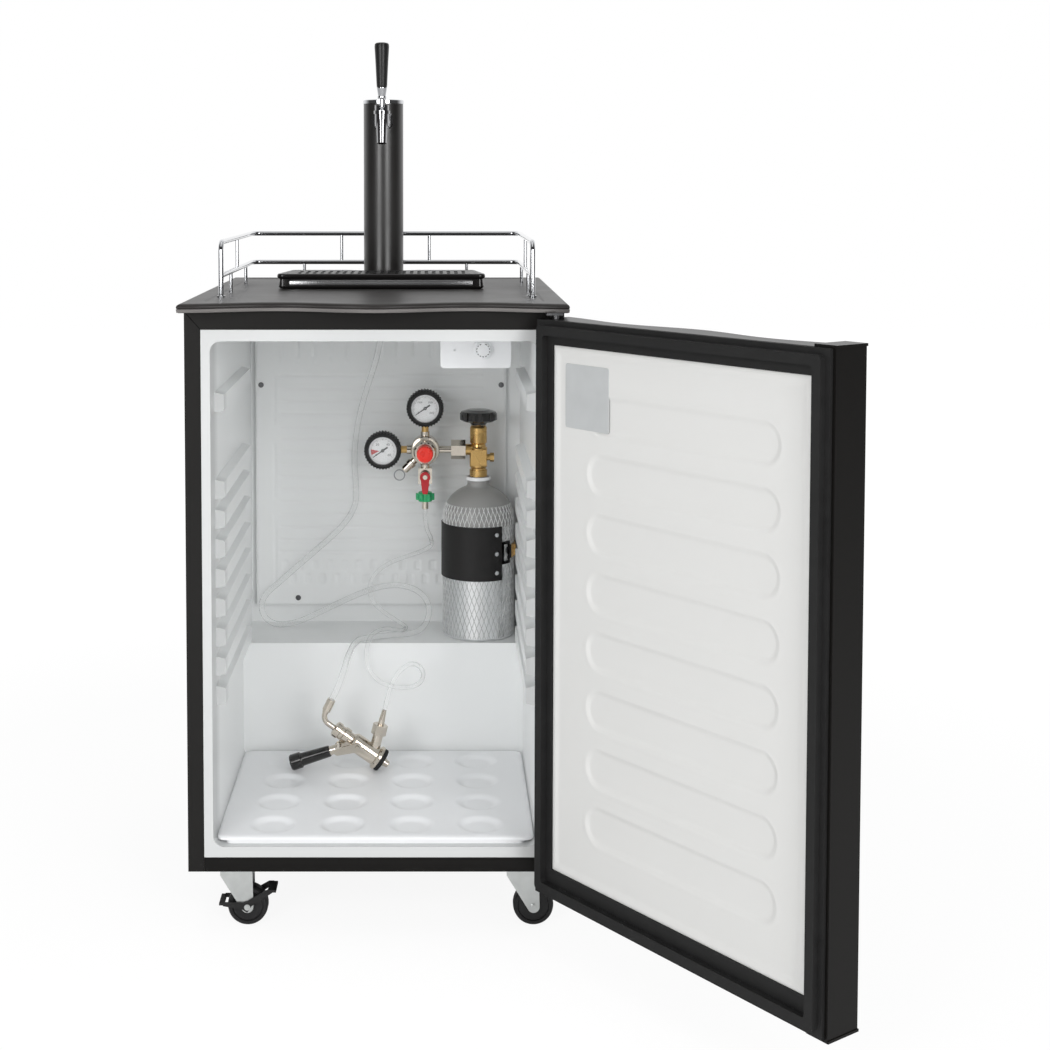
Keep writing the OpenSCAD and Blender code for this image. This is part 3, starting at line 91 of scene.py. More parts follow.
GAS_ROUTE = (
    (63, 150, 489.7), (63, 150, 476), (66, 153, 457), (72, 164, 440), (72, 181, 426), (58, 193, 415),
    (34, 195, 406), (8, 194, 396), (-14, 190, 381), (-24, 187, 360), (-20, 185, 338), (-3, 183, 321),
    (18, 179, 308), (32, 168, 301), (30, 153, 300), (18, 139, 303.5), (5, 126, 308.8), (-8, 111, 309.8),
    (-18, 96, 306.5), (-23, 83, 297.5), (-25, 73, 281), (-20, 66, 262), (-5, 61, 246), (18, 56, 239),
    (40, 48, 241), (56, 38, 251), (61, 24, 268), (54, 10, 284), (40, -1, 289), (24, -6, 277), (14, -7, 258),
    (8.5, -7, 239), (4.7, -7, 224),
)


# Sizes and colours that a user may change

def length(name, description, default):
    """A property for a length."""
    return FloatProperty(name=name, description=description, default=default, unit="LENGTH")


def colour(name, description, default):
    """A property for a colour."""
    return FloatVectorProperty(name=name, description=description, subtype="COLOR", size=3, default=default,
                               min=0, max=1)


def power(name, description, default):
    """A property for a lamp's power."""
    return FloatProperty(name=name, description=description, default=default, unit="POWER")


class CoolerSizes(bpy.types.PropertyGroup):
    """Sizes of the finishing pieces."""
    beer_hose: length("Beer hose", "Outer diameter of the beer hose", 0.009)
    gas_hose: length("Gas hose", "Outer diameter of the gas hose", 0.0065)
    field_depth: length("Field depth", "Depth of the pressed fields in the door panel", 0.002)
    net_strands: IntProperty(
        name="Net strands", description="Strands of the cylinder's netting in each direction", default=46,
        min=12, max=80)
    net_wire: length("Net wire", "Radius of a netting strand", 0.0005)
    dial_ticks: IntProperty(
        name="Dial ticks", description="Marks round a gauge's dial", default=41, min=11, max=81)


class CoolerColours(bpy.types.PropertyGroup):
    """Colours of the finishes."""
    frame: colour("Frame", "Satin black of the cabinet and door", (0.0075, 0.0068, 0.0062))
    worktop: colour("Worktop", "Textured black of the worktop", (0.020, 0.0175, 0.0165))
    liner: colour("Liner", "Cool pale grey of the inside", (0.915, 0.93, 0.93))
    door_panel: colour("Door panel", "White of the door's inside", (0.715, 0.715, 0.702))
    cylinder_paint: colour("Cylinder paint", "Grey of the cylinder's shoulder", (0.31, 0.31, 0.302))
    brass: colour("Brass", "Yellow metal of the valve", (0.62, 0.40, 0.15))
    nickel: colour("Nickel", "Warm plating of regulator and coupler", (0.66, 0.60, 0.52))


class CoolerStage(bpy.types.PropertyGroup):
    """Light and camera."""
    left_power: power("Left power", "Power of the upright lamp at the front left", 43)
    right_power: power("Right power", "Power of the upright lamp at the front right", 42)
    top_power: power("Top power", "Power of the lamp above", 8)
    sky: FloatProperty(
        name="Sky", description="Strength of the even light from all round", default=0.52, min=0, max=2)
    lens: FloatProperty(
        name="Lens", description="Focal length of the camera", default=58.89, unit="CAMERA")


# Helpers for settings, objects and meshes

def put(item, **settings):
    """The item with its settings."""
    for key, value in settings.items():
        setattr(item, key, value)
    return item


def new_object(name, data):
    """An object in the scene."""
    item = bpy.data.objects.new(name, data)
    bpy.context.scene.collection.objects.link(item)
    return item


def plain_mesh(holder):
    """The finished mesh of an object, which is then removed."""
    bpy.context.view_layer.update()
    ready = holder.evaluated_get(bpy.context.evaluated_depsgraph_get())
    mesh = bpy.data.meshes.new_from_object(ready)
    bpy.data.objects.remove(holder)
    return mesh


# Node helpers, for shaders and geometry alike

def fill(tree, node, inputs):
    """Sets a node's inputs by name or number: a socket is linked, anything else is a plain value."""
    for key, value in inputs.items():
        if isinstance(value, bpy.types.NodeSocket):
            tree.links.new(value, node.inputs[key])
        else:
            node.inputs[key].default_value = value


def add(tree, kind, inputs=None, **settings):
    """A new node with its settings and inputs."""
    node = put(tree.nodes.new(kind), **settings)
    fill(tree, node, inputs or {})
    return node


def out(tree, kind, inputs=None, output=0, **settings):
    """The output socket of a new node."""
    return add(tree, kind, inputs, **settings).outputs[output]


def calc(tree, operation, *values):
    """A calculation with sockets or numbers."""
    return out(tree, "ShaderNodeMath", dict(enumerate(values)), operation=operation)


def vector(tree, x=0.0, y=0.0, z=0.0):
    """A vector from sockets or numbers."""
    return out(tree, "ShaderNodeCombineXYZ", {"X": x, "Y": y, "Z": z})


# Shader helpers

def object_place(tree):
    """Object coordinates."""
    return out(tree, "ShaderNodeTexCoord", output="Object")


def along(tree, axis):
    """One of the object coordinates."""
    return out(tree, "ShaderNodeSeparateXYZ", {"Vector": object_place(tree)}, axis)


def ramp(tree, value, start, end, low=0.0, high=1.0, kind="LINEAR"):
    """A value taken from start and end to low and high."""
    limits = {"From Min": start, "From Max": end, "To Min": low, "To Max": high}
    return out(tree, "ShaderNodeMapRange", {"Value": value, **limits}, interpolation_type=kind)


def noise(tree, scale, detail=3.0, place=None):
    """A noise texture's value."""
    return out(tree, "ShaderNodeTexNoise", {
        "Vector": place or object_place(tree), "Scale": scale, "Detail": detail, "Roughness": 0.55})


def spread(tree, value, low=0.0, high=1.0):
    """A noise value, taken from the middle of its range to low and high."""
    return ramp(tree, value, 0.3, 0.7, low, high)


def mix(tree, factor, first, second):
    """A colour between two colours or sockets."""
    sides = [side if isinstance(side, bpy.types.NodeSocket) else (*side, 1) for side in (first, second)]
    return out(tree, "ShaderNodeMix", {0: factor, 6: sides[0], 7: sides[1]}, 2, data_type="RGBA")


def bump(tree, height, strength, distance):
    """A bump from a height socket."""
    return out(tree, "ShaderNodeBump", {"Height": height, "Strength": strength, "Distance": distance})


def blend(tree, factor, first, second, end):
    """Ends a tree in a blend of two shaders."""
    surface = out(tree, "ShaderNodeMixShader", {0: factor, 1: first.outputs[0], 2: second.outputs[0]})
    fill(tree, tree.nodes[end], {"Surface": surface})


def shade(colour, amount):
    """A colour made lighter or darker."""
    return tuple(min(1.0, max(0.0, part * amount)) for part in colour)


def new_material(name):
    """A material, its node tree and its shader."""
    material = bpy.data.materials.new(name)
    material.use_nodes = True
    return material, material.node_tree, material.node_tree.nodes["Principled BSDF"]


# Materials

def finish(name, colour, rough, metal, vary, rough_vary, cloud, grain, depth, strength, specular,
           coat=0.0, coat_rough=0.1, front=None):
    """A surface with cloudy colour, uneven gloss, a fine grain and, where it is given, a painted shade that
    darkens its front.
    """
    material, tree, shader = new_material(name)
    clouds = noise(tree, cloud)
    colours = mix(tree, spread(tree, clouds), shade(colour, 1 - vary), shade(colour, 1 + vary))
    if front:
        # Painted shade: the colour is scaled down towards the front along Y, from the given amount at start
        # up to full at end
        painted_front_shade = ramp(tree, along(tree, "Y"), *front)
        colours = out(tree, "ShaderNodeVectorMath", {0: colours, "Scale": painted_front_shade}, operation="SCALE")
    fill(tree, shader, {
        "Base Color": colours, "Roughness": spread(tree, clouds, rough - rough_vary, rough + rough_vary),
        "Normal": bump(tree, noise(tree, grain, 2.0), strength, depth * 0.00001), "Metallic": metal,
        "Specular IOR Level": specular, "Coat Weight": coat, "Coat Roughness": coat_rough})
    return material


def make_materials(colours):
    """All finishes by name, in the colours that the user has set."""
    black = colours.frame
    pale = colours.liner
    # Columns: key, name, colour, roughness, metal, change of colour and of roughness, clouds and grains in
    # a metre, depth of the grain in hundredths of a millimetre and its strength, specular level
    rows = (
        ("frame", "frame_satin_black", black, 0.33, 0, 0.04, 0.015, 5, 1500, 3, 0.25, 0.27),
        ("door", "door_satin_black", shade(black, 0.8), 0.31, 0, 0.04, 0.015, 5, 1500, 3, 0.25, 0.17),
        ("worktop", "worktop_textured_black", colours.worktop, 0.4, 0, 0.05, 0.02, 14, 700, 9, 0.4, 0.38),
        ("tower", "tower_satin_black", shade(black, 1.35), 0.32, 0, 0.1, 0.05, 6, 1600, 3, 0.25, 0.8),
        ("liner", "liner_pale_grey", pale, 0.34, 0, 0.006, 0.02, 4, 350, 3, 0.12, 0.4),
        ("plate", "evaporator_pale_grey", shade(pale, 0.93), 0.36, 0, 0.02, 0.05, 6, 420, 3, 0.15, 0.4),
        ("white", "white_plastic", (0.93, 0.94, 0.955), 0.32, 0, 0.003, 0.012, 8, 600, 2, 0.1, 0.45),
        ("door_panel", "door_panel_white", colours.door_panel, 0.38, 0, 0.005, 0.02, 3, 500, 2, 0.1, 0.4),
        ("chrome", "chrome", (0.68, 0.69, 0.71), 0.08, 1, 0.02, 0.01, 30, 1200, 1, 0.01, 0.5),
        ("dark_chrome", "faucet_chrome", (0.4, 0.4, 0.41), 0.1, 1, 0.02, 0.01, 30, 1200, 1, 0.01, 0.5),
        ("polished", "tray_plate_polished", (0.62, 0.62, 0.63), 0.19, 1, 0.03, 0.01, 20, 1200, 1, 0.01, 0.5),
        ("nickel", "warm_nickel", colours.nickel, 0.18, 1, 0.06, 0.05, 60, 1500, 2, 0.12, 0.5),
        ("brass", "turned_brass", colours.brass, 0.27, 1, 0.12, 0.07, 45, 900, 3, 0.15, 0.5),
        ("zinc", "zinc_plate", (0.7, 0.72, 0.71), 0.34, 1, 0.05, 0.03, 70, 900, 3, 0.15, 0.5),
        ("dark_zinc", "dark_zinc", (0.16, 0.16, 0.165), 0.36, 1, 0.14, 0.08, 70, 900, 3, 0.12, 0.5),
        ("steel", "galvanised_sheet", (0.42, 0.43, 0.44), 0.42, 1, 0.14, 0.1, 28, 600, 3, 0.1, 0.5),
        ("plastic", "black_plastic", (0.012, 0.012, 0.012), 0.34, 0, 0.15, 0.05, 40, 1400, 4, 0.25, 0.42),
        ("gloss_black", "gloss_black", (0.009, 0.008, 0.008), 0.14, 0, 0.15, 0.03, 40, 900, 1, 0.05, 0.5),
        ("rubber", "black_rubber", (0.013, 0.013, 0.013), 0.62, 0, 0.15, 0.05, 60, 1800, 5, 0.25, 0.3),
        ("webbing", "strap_black", (0.014, 0.013, 0.013), 0.55, 0, 0.16, 0.05, 60, 1100, 10, 0.5, 0.32),
        ("red", "red_plastic", (0.86, 0.028, 0.014), 0.28, 0, 0.08, 0.05, 70, 1200, 3, 0.25, 0.5),
        ("dark_red", "red_lever", (0.5, 0.012, 0.02), 0.3, 0, 0.08, 0.05, 70, 1200, 3, 0.25, 0.5),
        ("green", "green_plastic", (0.03, 0.42, 0.16), 0.3, 0, 0.1, 0.05, 70, 1200, 3, 0.25, 0.5),
        ("foam", "foam", (0.66, 0.57, 0.36), 0.9, 0, 0.1, 0.05, 80, 500, 30, 0.25, 0.2),
        ("coil", "coil_enamel", (0.012, 0.012, 0.013), 0.42, 0, 0.2, 0.05, 30, 800, 5, 0.25, 0.4),
        ("wheel", "wheel_nylon", (0.012, 0.012, 0.0125), 0.4, 0, 0.2, 0.05, 50, 900, 6, 0.25, 0.4),
        ("dial", "dial_white", (0.95, 0.955, 0.96), 0.5, 0, 0.01, 0.05, 60, 900, 1, 0.05, 0.3),
        ("dial_print", "dial_print", (0.02, 0.02, 0.022), 0.55, 0, 0.1, 0.05, 200, 900, 4, 0.25, 0.2),
        ("dial_red", "dial_red", (0.62, 0.02, 0.02), 0.55, 0, 0.06, 0.05, 200, 900, 4, 0.25, 0.2),
        ("label", "grey_label", (0.5, 0.515, 0.52), 0.42, 0, 0.04, 0.05, 30, 700, 2, 0.25, 0.45),
        ("grille", "grille_dark_steel", (0.045, 0.045, 0.046), 0.36, 0.85, 0.15, 0.05, 80, 900, 4, 0.25, 0.5),
        ("edge_strip", "edge_strip_satin", (0.2, 0.19, 0.185), 0.3, 0.7, 0.08, 0.05, 12, 900, 3, 0.1, 0.5),
        ("seam", "seam_dark", (0.002, 0.002, 0.002), 0.7, 0, 0.2, 0.05, 30, 900, 4, 0.25, 0.1),
    )
    extras = {
        "tower": {"coat": 0.2, "coat_rough": 0.3}, "gloss_black": {"coat": 0.3, "coat_rough": 0.06},
        # The liner's front lip gets a painted shade, darker towards the opening
        "liner": {"front": (-0.236, -0.19, 0.70)},
    }
    made = {key: finish(*row, **extras.get(key, {})) for key, *row in rows}
    bay_coat(made["foam"])
    made["gauge_case"] = gauge_case(colours.brass)
    made["strap_metal"] = strap_metal(colours.brass)
    made["hose"] = clear_hose()
    made["lens"] = clear_lens()
    made["cylinder"] = cylinder_paint(colours.cylinder_paint)
    made["net"] = net_strand()
    return made


def bay_coat(material):
    """Dark paint over the foam where the compressor's space lays it bare."""
    tree = material.node_tree
    base = tree.nodes["Principled BSDF"].inputs["Base Color"]
    below = calc(tree, "LESS_THAN", along(tree, "Z"), BAY_TOP * MM)
    behind = calc(tree, "GREATER_THAN", along(tree, "Y"), BAY_FRONT * MM)
    bare = calc(tree, "MULTIPLY", below, behind)
    tree.links.new(mix(tree, bare, base.links[0].from_socket, (0.05, 0.05, 0.052)), base)


def clear_hose():
    """Soft clear tube: nearly see-through in the middle, greyer and denser at its edges."""
    material, tree, shader = new_material("clear_hose")
    facing = out(tree, "ShaderNodeLayerWeight", {"Blend": 0.35}, "Facing")
    cover = ramp(tree, facing, 0.25, 0.85, 0.10, 0.8, "SMOOTHSTEP")
    fill(tree, shader, {
        "Base Color": mix(tree, cover, (0.95, 0.96, 0.96), (0.42, 0.44, 0.44)), "Alpha": cover,
        "Roughness": spread(tree, noise(tree, 40), 0.2, 0.28), "IOR": 1.5, "Coat Weight": 0.6,
        "Coat Roughness": 0.08})
    return material


def gauge_case(brass):
    """Black gauge cases with brass stems, parted by the distance from each gauge's middle."""
    material, tree, shader = new_material("gauge_case_and_stem")
    flat = out(tree, "ShaderNodeVectorMath", {0: object_place(tree), 1: (1, 0, 1)}, operation="MULTIPLY")
    reaches = []
    for x, z in GAUGES.values():
        ends = {0: flat, 1: (x * MM, 0, z * MM)}
        reaches.append(out(tree, "ShaderNodeVectorMath", ends, "Value", operation="DISTANCE"))
    stem = calc(tree, "GREATER_THAN", calc(tree, "MINIMUM", *reaches), GAUGE_CASE_RADIUS * MM)
    fill(tree, shader, {
        "Base Color": mix(tree, stem, (0.010, 0.010, 0.010), brass), "Metallic": stem,
        "Roughness": spread(tree, noise(tree, 60), 0.24, 0.36)})
    return material


def strap_metal(brass):
    """Bright rivets on the strap, then its black loop and a brass catch further to the right."""
    material, tree, shader = new_material("strap_metal")
    past_loop = calc(tree, "GREATER_THAN", along(tree, "X"), LOOP_X * MM)
    past_catch = calc(tree, "GREATER_THAN", along(tree, "X"), CATCH_X * MM)
    right = mix(tree, past_catch, (0.012, 0.012, 0.012), brass)
    fill(tree, shader, {
        "Base Color": mix(tree, past_loop, (0.78, 0.79, 0.80), right), "Metallic": 1.0,
        "Roughness": spread(tree, noise(tree, 90), 0.22, 0.36)})
    return material


def clear_lens():
    """Thin clear window with a soft shine."""
    material, tree, shader = new_material("clear_lens")
    fill(tree, shader, {
        "Base Color": (0.95, 0.97, 0.98, 1), "Alpha": 0.1, "Specular IOR Level": 0.6,
        "Roughness": spread(tree, noise(tree, 60), 0.02, 0.07)})
    return material


def cylinder_paint(paint):
    """Grey paint on the shoulder over a brushed silver wall, parted at one height."""
    material, tree, shader = new_material("cylinder_two_tone")
    edge = ramp(tree, along(tree, "Z"), (PAINT_EDGE - 1) * MM, (PAINT_EDGE + 1) * MM)
    drawn = out(tree, "ShaderNodeMapping", {"Vector": object_place(tree), "Scale": (1, 1, 0.02)})
    streaks = noise(tree, 420, place=drawn)
    silver = mix(tree, spread(tree, streaks), (0.72, 0.73, 0.74), (0.88, 0.89, 0.89))
    fill(tree, shader, {
        "Base Color": mix(tree, edge, silver, paint), "Metallic": calc(tree, "SUBTRACT", 1.0, edge),
        "Roughness": spread(tree, streaks, 0.28, 0.36), "Normal": bump(tree, noise(tree, 900), 0.2, 0.00004)})
    return material


def net_strand():
    """Clear netting that reads white over the paint and grey over the silver wall."""
    material, tree, shader = new_material("net_strand")
    over = calc(tree, "GREATER_THAN", along(tree, "Z"), PAINT_EDGE * MM)
    fill(tree, shader, {
        "Base Color": mix(tree, over, (0.60, 0.61, 0.61), (0.88, 0.89, 0.89)), "Alpha": 0.88,
        "Roughness": spread(tree, noise(tree, 80), 0.2, 0.34)})
    return material


FINISHES = {}
NODE_FINISH = {
    "frame": "cabinet_shell", "door": "base_pan door_skin door_handle", "steel": "back_panel relief_ring",
    "foam": "cabinet_foam door_foam", "liner": "cabinet_liner", "plate": "evaporator_plate",
    "white": "thermostat_housing thermostat_knob floor_plate", "tower": "tower_column",
    "chrome": "guard_rail tower_cap tap_lever", "dark_chrome": "faucet_body",
    "coil": "compressor condenser_coil", "cylinder": "co2_cylinder", "brass": "cylinder_valve",
    "gauge_case": "gauge_cases", "webbing": "cylinder_strap",
    "zinc": "caster_plates caster_fork_fl caster_fork_fr caster_fork_rl caster_fork_rr",
    "dark_zinc": "plate_screws hinge_brackets", "strap_metal": "strap_hardware",
    "nickel": "regulator_body shutoff_valve coupler_body coupler_lever coupler_probe",
    "rubber": "gauge_boots coupler_seal door_gasket", "lens": "gauge_lenses", "green": "hose_nut",
    "red": "regulator_knob", "dark_red": "shutoff_lever", "grille": "drip_grille",
    "gloss_black": "drip_tray cylinder_handwheel coupler_grip",
    "plastic": "tap_grip brake_pedal needle_high needle_low",
    "wheel": "wheel_fl wheel_fr wheel_rl wheel_rr",
}


# Helpers for curves and heights

def spaced(low, high, count):
    """Even places from low to high, with a number of gaps."""
    return [low + (high - low) * i / count for i in range(count + 1)]


def arc(across, up, radius, start, end, count):
    """Pairs along an arc between two angles in degrees."""
    angles = [math.radians(angle) for angle in spaced(start, end, count)]
    return [(across + radius * math.cos(angle), up + radius * math.sin(angle)) for angle in angles]


def circle(across, up, radius, count):
    """Pairs round a circle."""
    return arc(across, up, radius, 0, 360, count)[:-1]


def round_corners(across, up, half_across, half_up, radius, count):
    """Pairs round an oblong with round corners."""
    pairs = []
    for side, height, start in ((1, 1, 0), (-1, 1, 90), (-1, -1, 180), (1, -1, 270)):
        pairs += arc(across + side * (half_across - radius), up + height * (half_up - radius), radius,
                     start, start + 90, count)
    return pairs


def soft_step(value):
    """A smooth rise from 0 to 1."""
    value = min(1.0, max(0.0, value))
    return value * value * (3 - 2 * value)


def bell(distance, width):
    """A smooth bump of height 1."""
    return math.exp(-(distance / width) ** 2)


def nearest(places, value):
    """The place that lies nearest to a value."""
    return min(places, key=lambda place: abs(place - value))


# Helpers for shapes, which are lists of points in millimetres and of faces

def loft(rings, closed=False):
    """A shape through rings of equal count, with a face at either end or closed on itself."""
    count = len(rings[0])
    faces = []
    for level in range(len(rings) if closed else len(rings) - 1):
        low = level * count
        high = (level + 1) % len(rings) * count
        for i in range(count):
            j = (i + 1) % count
            faces.append((low + i, low + j, high + j, high + i))
    if not closed:
        faces.append(tuple(range(count)))
        faces.append(tuple((len(rings) - 1) * count + i for i in range(count)))
    return [point for ring in rings for point in ring], faces


def sheet(across, upward, place, rear):
    """A grid of points from place, closed by a skirt and a flat back where rear puts the rim's points."""
    wide = len(across)
    tall = len(upward)
    points = [place(a, b) for b in upward for a in across]
    faces = []
    for j in range(tall - 1):
        for i in range(wide - 1):
            low = j * wide + i
            faces.append((low, low + 1, low + wide + 1, low + wide))
    rim = list(range(wide))
    rim += [(j + 1) * wide - 1 for j in range(1, tall)]
    rim += [(tall - 1) * wide + i for i in range(wide - 2, -1, -1)]
    rim += [j * wide for j in range(tall - 2, 0, -1)]
    first = len(points)
    points += [rear(points[index]) for index in rim]
    for k, index in enumerate(rim):
        m = (k + 1) % len(rim)
        faces.append((index, first + k, first + m, rim[m]))
    faces.append(tuple(range(first, len(points))))
    return points, faces


def upright_sheet(across, upward, depth, rear_y):
    """A closed sheet that stands upright, with its front at depth(x, z)."""
    return sheet(across, upward, lambda x, z: (x, depth(x, z), z),
                 lambda point: (point[0], rear_y, point[2]))


def joined(*shapes):
    """Several shapes as one."""
    points = []
    faces = []
    for more_points, more_faces in shapes:
        faces += [tuple(len(points) + index for index in face) for face in more_faces]
        points += more_points
    return points, faces


def door_turned(shape):
    """A shape drawn with the door shut, in its open place."""
    points, faces = shape
    hinge_x, hinge_y = DOOR_HINGE
    cosine = math.cos(DOOR_OPEN)
    sine = math.sin(DOOR_OPEN)
    turned = []
    for x, y, z in points:
        dx = x - hinge_x
        dy = y - hinge_y
        turned.append((hinge_x + dx * cosine - dy * sine, hinge_y + dx * sine + dy * cosine, z))
    return turned, faces


def metres(points):
    """Points taken from millimetres to metres."""
    return [tuple(part * MM for part in point) for point in points]


# Helpers for pieces

def add_object(name, mesh, material, smooth):
    """A mesh object at the origin with one material, smooth up to an angle in degrees."""
    piece = new_object(name, mesh)
    mesh.materials.clear()
    mesh.materials.append(material)
    if smooth:
        mesh.shade_smooth()
        mesh.set_sharp_from_angle(angle=math.radians(smooth))
    return piece


def settle(piece, body, slot, *nodes):
    """Rides a finished piece on its body and hides the solids that it stands for; slot is not used."""
    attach(piece, body)
    if nodes:
        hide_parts(*nodes)


def make_piece(name, shape, look, smooth, body, slot, *nodes):
    """A finished piece from a shape, with doubles merged and faces turned outwards."""
    points, faces = shape
    mesh = bpy.data.meshes.new(name)
    mesh.from_pydata(metres(points), [], faces)
    work = bmesh.new()
    work.from_mesh(mesh)
    bmesh.ops.remove_doubles(work, verts=work.verts, dist=1e-6)
    bmesh.ops.dissolve_degenerate(work, edges=work.edges, dist=1e-6)
    bmesh.ops.recalc_face_normals(work, faces=work.faces)
    work.to_mesh(mesh)
    work.free()
    settle(add_object(name, mesh, FINISHES[look], smooth), body, slot, *nodes)


# Geometry node helpers

def new_tree(name, defaults):
    """A geometry tree with numbers and a material as inputs, and its input sockets."""
    tree = bpy.data.node_groups.new(name, "GeometryNodeTree")
    tree.interface.new_socket("Geometry", in_out="INPUT", socket_type="NodeSocketGeometry")
    for label, default in defaults.items():
        kind = "NodeSocketInt" if isinstance(default, int) else "NodeSocketFloat"
        socket = tree.interface.new_socket(label, in_out="INPUT", socket_type=kind)
        socket.default_value = default
    tree.interface.new_socket("Material", in_out="INPUT", socket_type="NodeSocketMaterial")
    tree.interface.new_socket("Geometry", in_out="OUTPUT", socket_type="NodeSocketGeometry")
    return tree, add(tree, "NodeGroupInput").outputs


def close_tree(tree, given, geometry):
    """Ends a tree in real meshes with their material, and returns it."""
    real = out(tree, "GeometryNodeRealizeInstances", {"Geometry": geometry})
    painted = out(tree, "GeometryNodeSetMaterial", {"Geometry": real, "Material": given["Material"]})
    add(tree, "NodeGroupOutput", {"Geometry": painted})
    return tree


def point_index(tree):
    """The number of each point."""
    return out(tree, "GeometryNodeInputIndex")


def polar(tree, radius, angle):
    """A radius split along and across an angle."""
    return [calc(tree, "MULTIPLY", radius, calc(tree, way, angle)) for way in ("COSINE", "SINE")]


def moved_line(tree, count, places):
    """A line's points put at their places."""
    line = out(tree, "GeometryNodeMeshLine", {"Count": count})
    return out(tree, "GeometryNodeSetPosition", {"Geometry": line, "Position": places})


def join(tree, *parts):
    """Several geometries as one."""
    node = add(tree, "GeometryNodeJoinGeometry")
    for part in parts:
        tree.links.new(part, node.inputs["Geometry"])
    return node.outputs["Geometry"]


def copies(tree, points, shape, **turned):
    """A shape at every point, with a Rotation or Scale where they are given."""
    return out(tree, "GeometryNodeInstanceOnPoints", {"Points": points, "Instance": shape, **turned})


def run_tree(tree, name, points, values, smooth, axes=None):
    """Runs a tree on a cloud of points, each with its axis if given, and returns the plain mesh object."""
    seed = bpy.data.meshes.new(name + "_points")
    seed.from_pydata(metres(points), [], [])
    if axes:
        store = seed.attributes.new("axis", "FLOAT_VECTOR", "POINT")
        for entry, axis in zip(store.data, axes):
            entry.vector = axis
    holder = new_object(name + "_points", seed)
    modifier = holder.modifiers.new("build", "NODES")
    modifier.node_group = tree
    for item in tree.interface.items_tree:
        if item.in_out == "INPUT" and item.name in values:
            modifier[item.identifier] = values[item.name]
    mesh = plain_mesh(holder)
    mesh.name = name
    if not mesh.polygons:
        raise RuntimeError(name + " came out empty")
    return add_object(name, mesh, values["Material"], smooth)


def screw_tree():
    """Pan-head screws at points, each turned along its own axis."""
    tree, given = new_tree("screws", {"Head Radius": 0.004, "Head Height": 0.0022})
    radius = given["Head Radius"]
    height = given["Head Height"]
    top = calc(tree, "MULTIPLY", radius, 0.68)
    head = out(tree, "GeometryNodeMeshCone", {
        "Vertices": 20, "Radius Bottom": radius, "Radius Top": top, "Depth": height})
    parts = ((radius, 1.1), (radius, 0.2), (height, 0.16))
    size = vector(tree, *[calc(tree, "MULTIPLY", side, part) for side, part in parts])
    bar = out(tree, "GeometryNodeMeshCube", {"Size": size})
    raised = out(tree, "GeometryNodeTransform", {"Geometry": bar, "Translation": vector(tree, z=height)})
    crossed = out(tree, "GeometryNodeTransform", {"Geometry": raised, "Rotation": (0, 0, math.pi / 2)})
    axis = out(tree, "GeometryNodeInputNamedAttribute", {"Name": "axis"}, data_type="FLOAT_VECTOR")
    turn = out(tree, "FunctionNodeAlignRotationToVector", {"Vector": axis}, axis="Z")
    screws = copies(tree, given["Geometry"], join(tree, head, raised, crossed), Rotation=turn)
    return close_tree(tree, given, screws)


def tick_tree():
    """Marks on an arc in the upright plane, clockwise from the front, the first of each group longer."""
    tree, given = new_tree("dial_ticks", {
        "Count": 41, "Radius": 0.0185, "From": -2.18, "Sweep": 4.36, "Length": 0.0014, "Width": 0.00028,
        "Long": 1.9, "Group": 5.0})
    thickness = 0.0001
    index = point_index(tree)
    part = calc(tree, "DIVIDE", index, calc(tree, "SUBTRACT", given["Count"], 1))
    angle = calc(tree, "MULTIPLY_ADD", part, given["Sweep"], given["From"])
    beyond = calc(tree, "MODULO", calc(tree, "ADD", index, 0.01), given["Group"])
    major = calc(tree, "LESS_THAN", beyond, 0.5)
    stretch = calc(tree, "MULTIPLY_ADD", major, calc(tree, "SUBTRACT", given["Long"], 1.0), 1.0)
    inner = calc(tree, "MULTIPLY", calc(tree, "MULTIPLY", stretch, given["Length"]), 0.5)
    up, across = polar(tree, calc(tree, "SUBTRACT", given["Radius"], inner), angle)
    spots = moved_line(tree, given["Count"], vector(tree, x=across, z=up))
    size = vector(tree, given["Width"], thickness, given["Length"])
    bar = out(tree, "GeometryNodeMeshCube", {"Size": size})
    grow = vector(tree, calc(tree, "MULTIPLY_ADD", major, 0.5, 1.0), 1.0, stretch)
    marks = copies(tree, spots, bar, Rotation=vector(tree, y=angle), Scale=grow)
    return close_tree(tree, given, copies(tree, given["Geometry"], marks))


